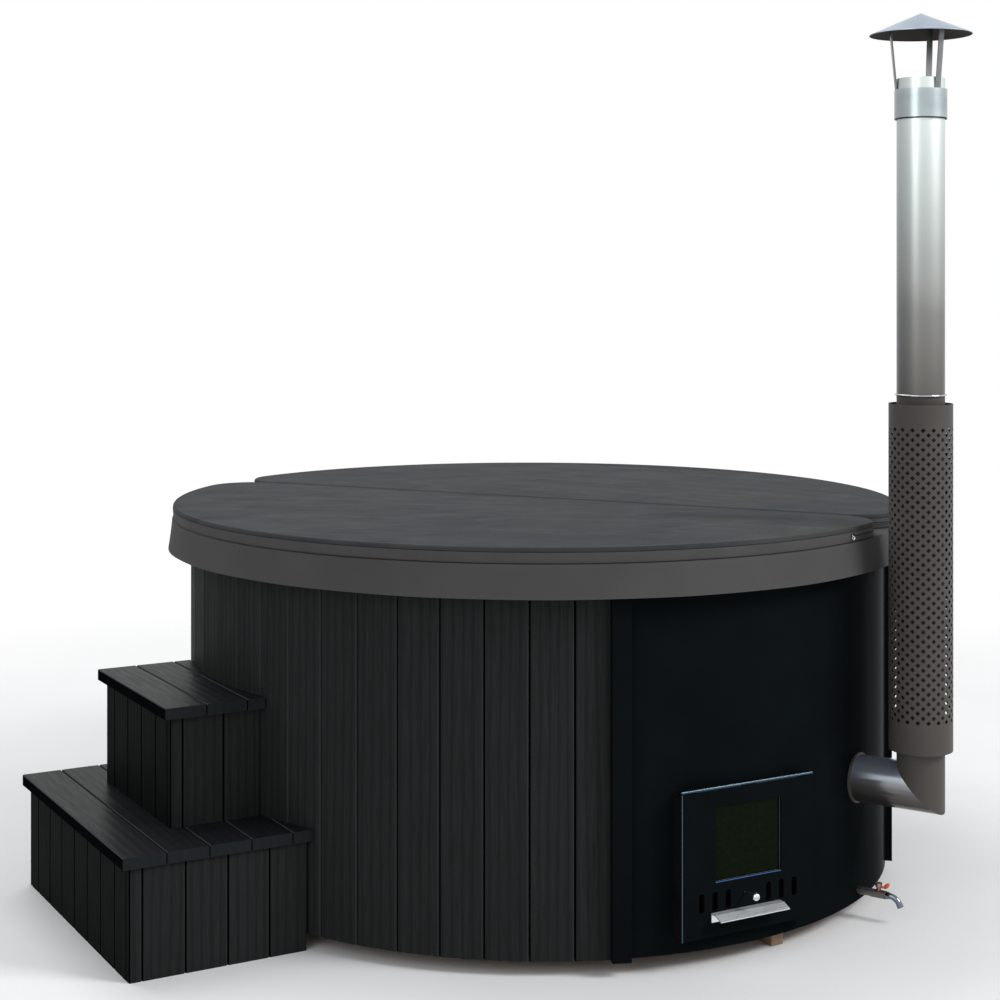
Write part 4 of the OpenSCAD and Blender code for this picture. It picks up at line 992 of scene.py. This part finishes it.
class HOTTUB_OT_cover(bpy.types.Operator):
    """Models the two padded halves of the cover with their skirts and zips, and finishes the pulls
    """

    bl_idname = "hottub.cover"
    bl_label = "Cover"

    def outline(self, corner, count):
        """Half disc with rounded corners: (along the fold, off the fold), evenly spaced."""
        s, n, reach = corner_centre(corner)
        quarter = math.pi / 2
        points = [(-s + 2 * s * i / 60, HALF_GAP) for i in range(61)]
        points += arc((s, n), corner, -quarter, reach + quarter, 24)
        points += arc((0, 0), RIM, reach, math.pi - 2 * reach, 240)
        points += arc((-s, n), corner, math.pi - reach, reach + quarter, 24, last=23)
        return evenly(points + points[:1], count, count)

    def rim_path(self, corner, turn, count):
        """Open path round a half, from a turn into one rounded corner to the same at the other."""
        s, n, reach = corner_centre(corner)
        path = arc((s, n), corner, -turn, reach + turn, 40, first=0)
        path += arc((0, 0), RIM, reach, math.pi - 2 * reach, 300)
        path += [(-p, q) for p, q in reversed(path[:40])]
        return evenly(path, count, count + 1)

    def half(self, name, side, body, cores, material):
        """Padded half of the lid, its top dented and a little crowned."""
        cs = sizes("cover_sizes")
        along, off = fold_axes(side)
        base, top = (corner.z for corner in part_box(cores[1]))
        edge, rings, middle = cs.edge, 76, 0.43
        loop = self.outline(cs.corner, 288)
        inner, inwards, under = (inward(loop, by) for by in (edge, 1.0, 0.004))
        points, faces = [], []

        def place(s, n, z):
            p = along * s + off * n
            points.append((p.x, p.y, z))

        def drawn_in(s, n, share):
            return s * share, middle + (n - middle) * share

        def dent(s, n):
            at = Vector((s * 1.1 + n * 0.5, n * 3.4, side * 3.0))
            wide = noise.fractal(at, 1.0, 2.0, 2)
            fine = noise.fractal(Vector((s * 4.0, n * 11.0 + s * 2.0, 5.0 + side)), 1.0, 2.0, 3)
            return cs.dent * (0.75 * wide + 0.35 * fine)

        # The top's rows: level at the rim over a share of the radius, with a welt along the fold
        sunk, level, welt, welt_off, welt_half = 0.0016, 0.05, 0.0016, 0.016, 0.006
        for k in range(rings + 1):
            share = 1 - (1 - k / rings) ** 1.5
            hold = min(1.0, (1 - share) / level)
            for s, n in inner if k else [(0.0, middle)]:
                ps, pn = drawn_in(s, n, share)
                rise = cs.crown * (1 - share**2) + dent(ps, pn) * hold
                ridge = welt * math.exp(-((pn - welt_off) / welt_half) ** 2) if share > 0.8 else 0.0
                place(ps, pn, top - sunk + rise * hold + ridge)
        # The side's rows, as (inset, drop): round edge, slight tuck to the seam, lower edge
        height, seam = top - base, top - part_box(body + "_skirt")[1].z
        tuck, low_tuck, low_inset, low_edge, swell = 0.0034, 0.0036, 0.0056, 0.002, 0.0009
        turns = [math.radians(22.5 * i) for i in (1, 2, 3, 4)]
        side_rows = [(edge * (1 - math.sin(a)), edge * (1 - math.cos(a))) for a in turns]
        side_rows += [(tuck * (i / 6) ** 2, edge + (seam - edge) * i / 6) for i in range(1, 7)]
        side_rows += [(low_tuck, height - low_edge), (low_inset, height)]
        for inset, drop in side_rows:
            for (s, n), (ds, dn) in zip(loop, inwards):
                shift = inset
                if edge < drop < seam - low_edge:
                    at = Vector((s * 6.0, n * 6.0, drop * 20.0 + side))
                    shift -= swell * noise.fractal(at, 1.0, 2.0, 2)
                place(s + (ds - s) * shift, n + (dn - n) * shift, top - drop)
        for share in (0.75, 0.5, 0.25):
            for s, n in under:
                place(*drawn_in(s, n, share), base)
        place(0.0, middle, base)
        count, total = len(loop), rings + len(side_rows) + 3
        for i in range(count):
            j = (i + 1) % count
            faces.append((0, 1 + i, 1 + j))
            for k in range(total - 1):
                a, b = 1 + k * count, 1 + (k + 1) * count
                faces.append((a + i, b + i, b + j, a + j))
            last = 1 + (total - 1) * count
            faces.append((last + i, len(points) - 1, last + j))
        piece = mesh_piece(name, points, faces)
        finished(piece, body, material, 50.0, cores)

    def band(self, side, path, rows):
        """Strip along a path, whose rows are (outward, height) for a share of its length."""
        along, off = fold_axes(side)
        last = len(path) - 1
        points, faces = [], []
        for i, (s, n) in enumerate(path):
            ds, dn = heading(path[max(0, i - 1)], path[min(last, i + 1)])
            column = rows(i / last)
            for reach, z in column:
                p = along * (s + dn * reach) + off * (n - ds * reach)
                points.append((p.x, p.y, z))
        count = len(column)
        for i in range(last):
            for k in range(count - 1):
                a, b = i * count + k, (i + 1) * count + k
                faces.append((a, b, b + 1, a + 1))
        return points, faces

    def skirt(self, name, side, body, node, material):
        """Flared skirt round the rim; its turned-in top closes the notch between the corners."""
        corner = sizes("cover_sizes").corner
        mid_s, mid_n, corner_turn = corner_centre(corner)
        low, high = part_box(node)
        end_gap, web, proud, flare, sag, cloth = 0.0007, 0.006, 0.0012, 0.0119, 0.0006, 0.0012
        start = end_gap / RIM
        sweep = math.pi - 2 * start

        def rim_reach(turn):
            """Distance from the axis to the half's rounded outline."""
            turn = min(turn, math.pi - turn)
            if turn > corner_turn:
                return RIM
            near = mid_s * math.cos(turn) + mid_n * math.sin(turn)
            off = mid_s**2 + mid_n**2 - near**2
            return near + math.sqrt(max(0.0, corner**2 - off))

        def rows(t):
            ends = min(1.0, min(t, 1 - t) * 22)
            ripple = 0.0011 * math.sin(t * 61 + side) + 0.0009 * math.sin(t * 23.7 + 2 * side)
            column = [(rim_reach(start + sweep * t) - RIM - web, high.z + 0.0004),
                      (0.0002, high.z + 0.0007)]
            for k in range(13):
                drop = k / 12
                reach = proud + flare * drop
                reach += ripple * drop * ends - sag * math.sin(drop * math.pi)
                column.append((reach, high.z + (low.z - high.z) * drop))
            return column

        path = arc((0, 0), RIM, start, sweep, 300, first=0)
        piece = mesh_piece(name, *self.band(side, path, rows))
        walled(piece, "cloth", cloth, 0)
        finished(piece, body, material, 60.0, [node])

    def cord(self, name, side, body, material, path, seam, low, high, proud):
        """A tape or piping along a half's side, standing a little proud of it."""
        low, high = seam + low, seam + high
        deep, chamfer = 0.004, 0.0004
        column = [(proud - deep, high), (proud, high - chamfer), (proud, (low + high) / 2),
                  (proud, low + chamfer), (proud - deep, low)]
        points, faces = self.band(side, path, lambda t: column)
        count, last = len(column), len(path) - 1
        for i in range(last):
            a, b = i * count, (i + 1) * count
            faces.append((a, a + count - 1, b + count - 1, b))
        faces += [tuple(range(count)), tuple(reversed(range(last * count, (last + 1) * count)))]
        finished(mesh_piece(name, points, faces), body, material, 45.0)

    def trim(self, side, body, material, tape):
        """Dark tape in the seam over the skirt, and the short zips of the foam's pocket."""
        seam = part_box(body + "_skirt")[1].z
        whole = self.rim_path(sizes("cover_sizes").corner, math.radians(84), 300)
        # Edges over the seam, and how far each stands proud of the side
        piping = (0.0012, 0.0042, -0.0018)
        short = (("_zip", tape, (0.0165, 0.0192, 0.0004)),
                 ("_welt", material, (0.0128, 0.0163, 0.0008)))
        self.cord(body + "_piping", side, body, tape, whole, seam, *piping)
        for mark, path in (("_a", whole[:29]), ("_b", whole[-29:])):
            for kind, coat, place in short:
                self.cord(body + kind + mark, side, body, coat, path, seam, *place)

    def execute(self, context):
        c = sizes("tub_colours")
        top_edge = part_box("cover_back_core")[1].z + 0.0006
        top = coated_sheet_finish(c, top_edge, sizes("cover_sizes").fold_turn)
        side = skirt_finish(c.cover_side)
        tape = zip_finish()
        for body, way in (("cover_back", 1), ("cover_front", -1)):
            self.half(body + "_half", way, body, [body + "_core", body + "_sheet"], top)
            self.skirt(body + "_hem", way, body, body + "_skirt", side)
            self.trim(way, body, side, tape)
        set_finish(brushed_finish("pull_metal", (0.8, 0.8, 0.8), 0.15, EVEN_BRUSH),
                   "cover_front_pull")
        set_finish(plastic_finish("pull_black", SOFT_BLACK, 0.35), "cover_back_pull")
        return {"FINISHED"}


class HOTTUB_OT_steps(bpy.types.Operator):
    """Finishes the boards, treads and frames of the two steps"""

    bl_idname = "hottub.steps"
    bl_label = "Steps"

    def execute(self, context):
        c = sizes("tub_colours")
        post_width = 0.0315
        for step in ("lower", "upper"):
            boards, tread = (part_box(step + part)[0] for part in ("_step_boards", "_step_tread"))
            first = boards.x + post_width
            set_finish(step_finish(step + "_boards", c.boards, first, boards.y, False),
                       step + "_step_boards")
            set_finish(step_finish(step + "_treads", c.treads, tread.x, 0.0, True, (0.3, 0.46)),
                       step + "_step_tread")
        set_finish(timber_finish("step_timber", BARE_TIMBER, 0.45), "lower_step_frame",
                   "upper_step_frame")
        return {"FINISHED"}


STEPS = (HOTTUB_OT_stage, HOTTUB_OT_boards, HOTTUB_OT_heater, HOTTUB_OT_chimney, HOTTUB_OT_guard,
         HOTTUB_OT_drain, HOTTUB_OT_cover, HOTTUB_OT_steps)
GROUPS = {"cover_sizes": CoverSizes, "guard_sizes": GuardSizes, "tub_colours": FinishColours}


class HOTTUB_PT_panel(bpy.types.Panel):
    """Lists the steps that dress the hot tub"""

    bl_idname = "HOTTUB_PT_panel"
    bl_label = "Hot Tub"
    bl_space_type = "VIEW_3D"
    bl_region_type = "UI"
    bl_category = "Hot Tub"

    def draw(self, context):
        for step in STEPS:
            self.layout.operator(step.bl_idname)
        for name in GROUPS:
            box = self.layout.box()
            for key in getattr(context.scene, name).bl_rna.properties.keys():
                if key not in {"rna_type", "name"}:
                    box.prop(getattr(context.scene, name), key)


CLASSES = (*GROUPS.values(), *STEPS, HOTTUB_PT_panel)


def register():
    for item in CLASSES:
        bpy.utils.register_class(item)
    for name, group in GROUPS.items():
        setattr(bpy.types.Scene, name, bpy.props.PointerProperty(type=group))


def unregister():
    for name in GROUPS:
        delattr(bpy.types.Scene, name)
    for item in reversed(CLASSES):
        bpy.utils.unregister_class(item)


def main():
    register()
    for step in STEPS:
        group, name = step.bl_idname.split(".")
        getattr(getattr(bpy.ops, group), name)()


if __name__ == "__main__":
    main()
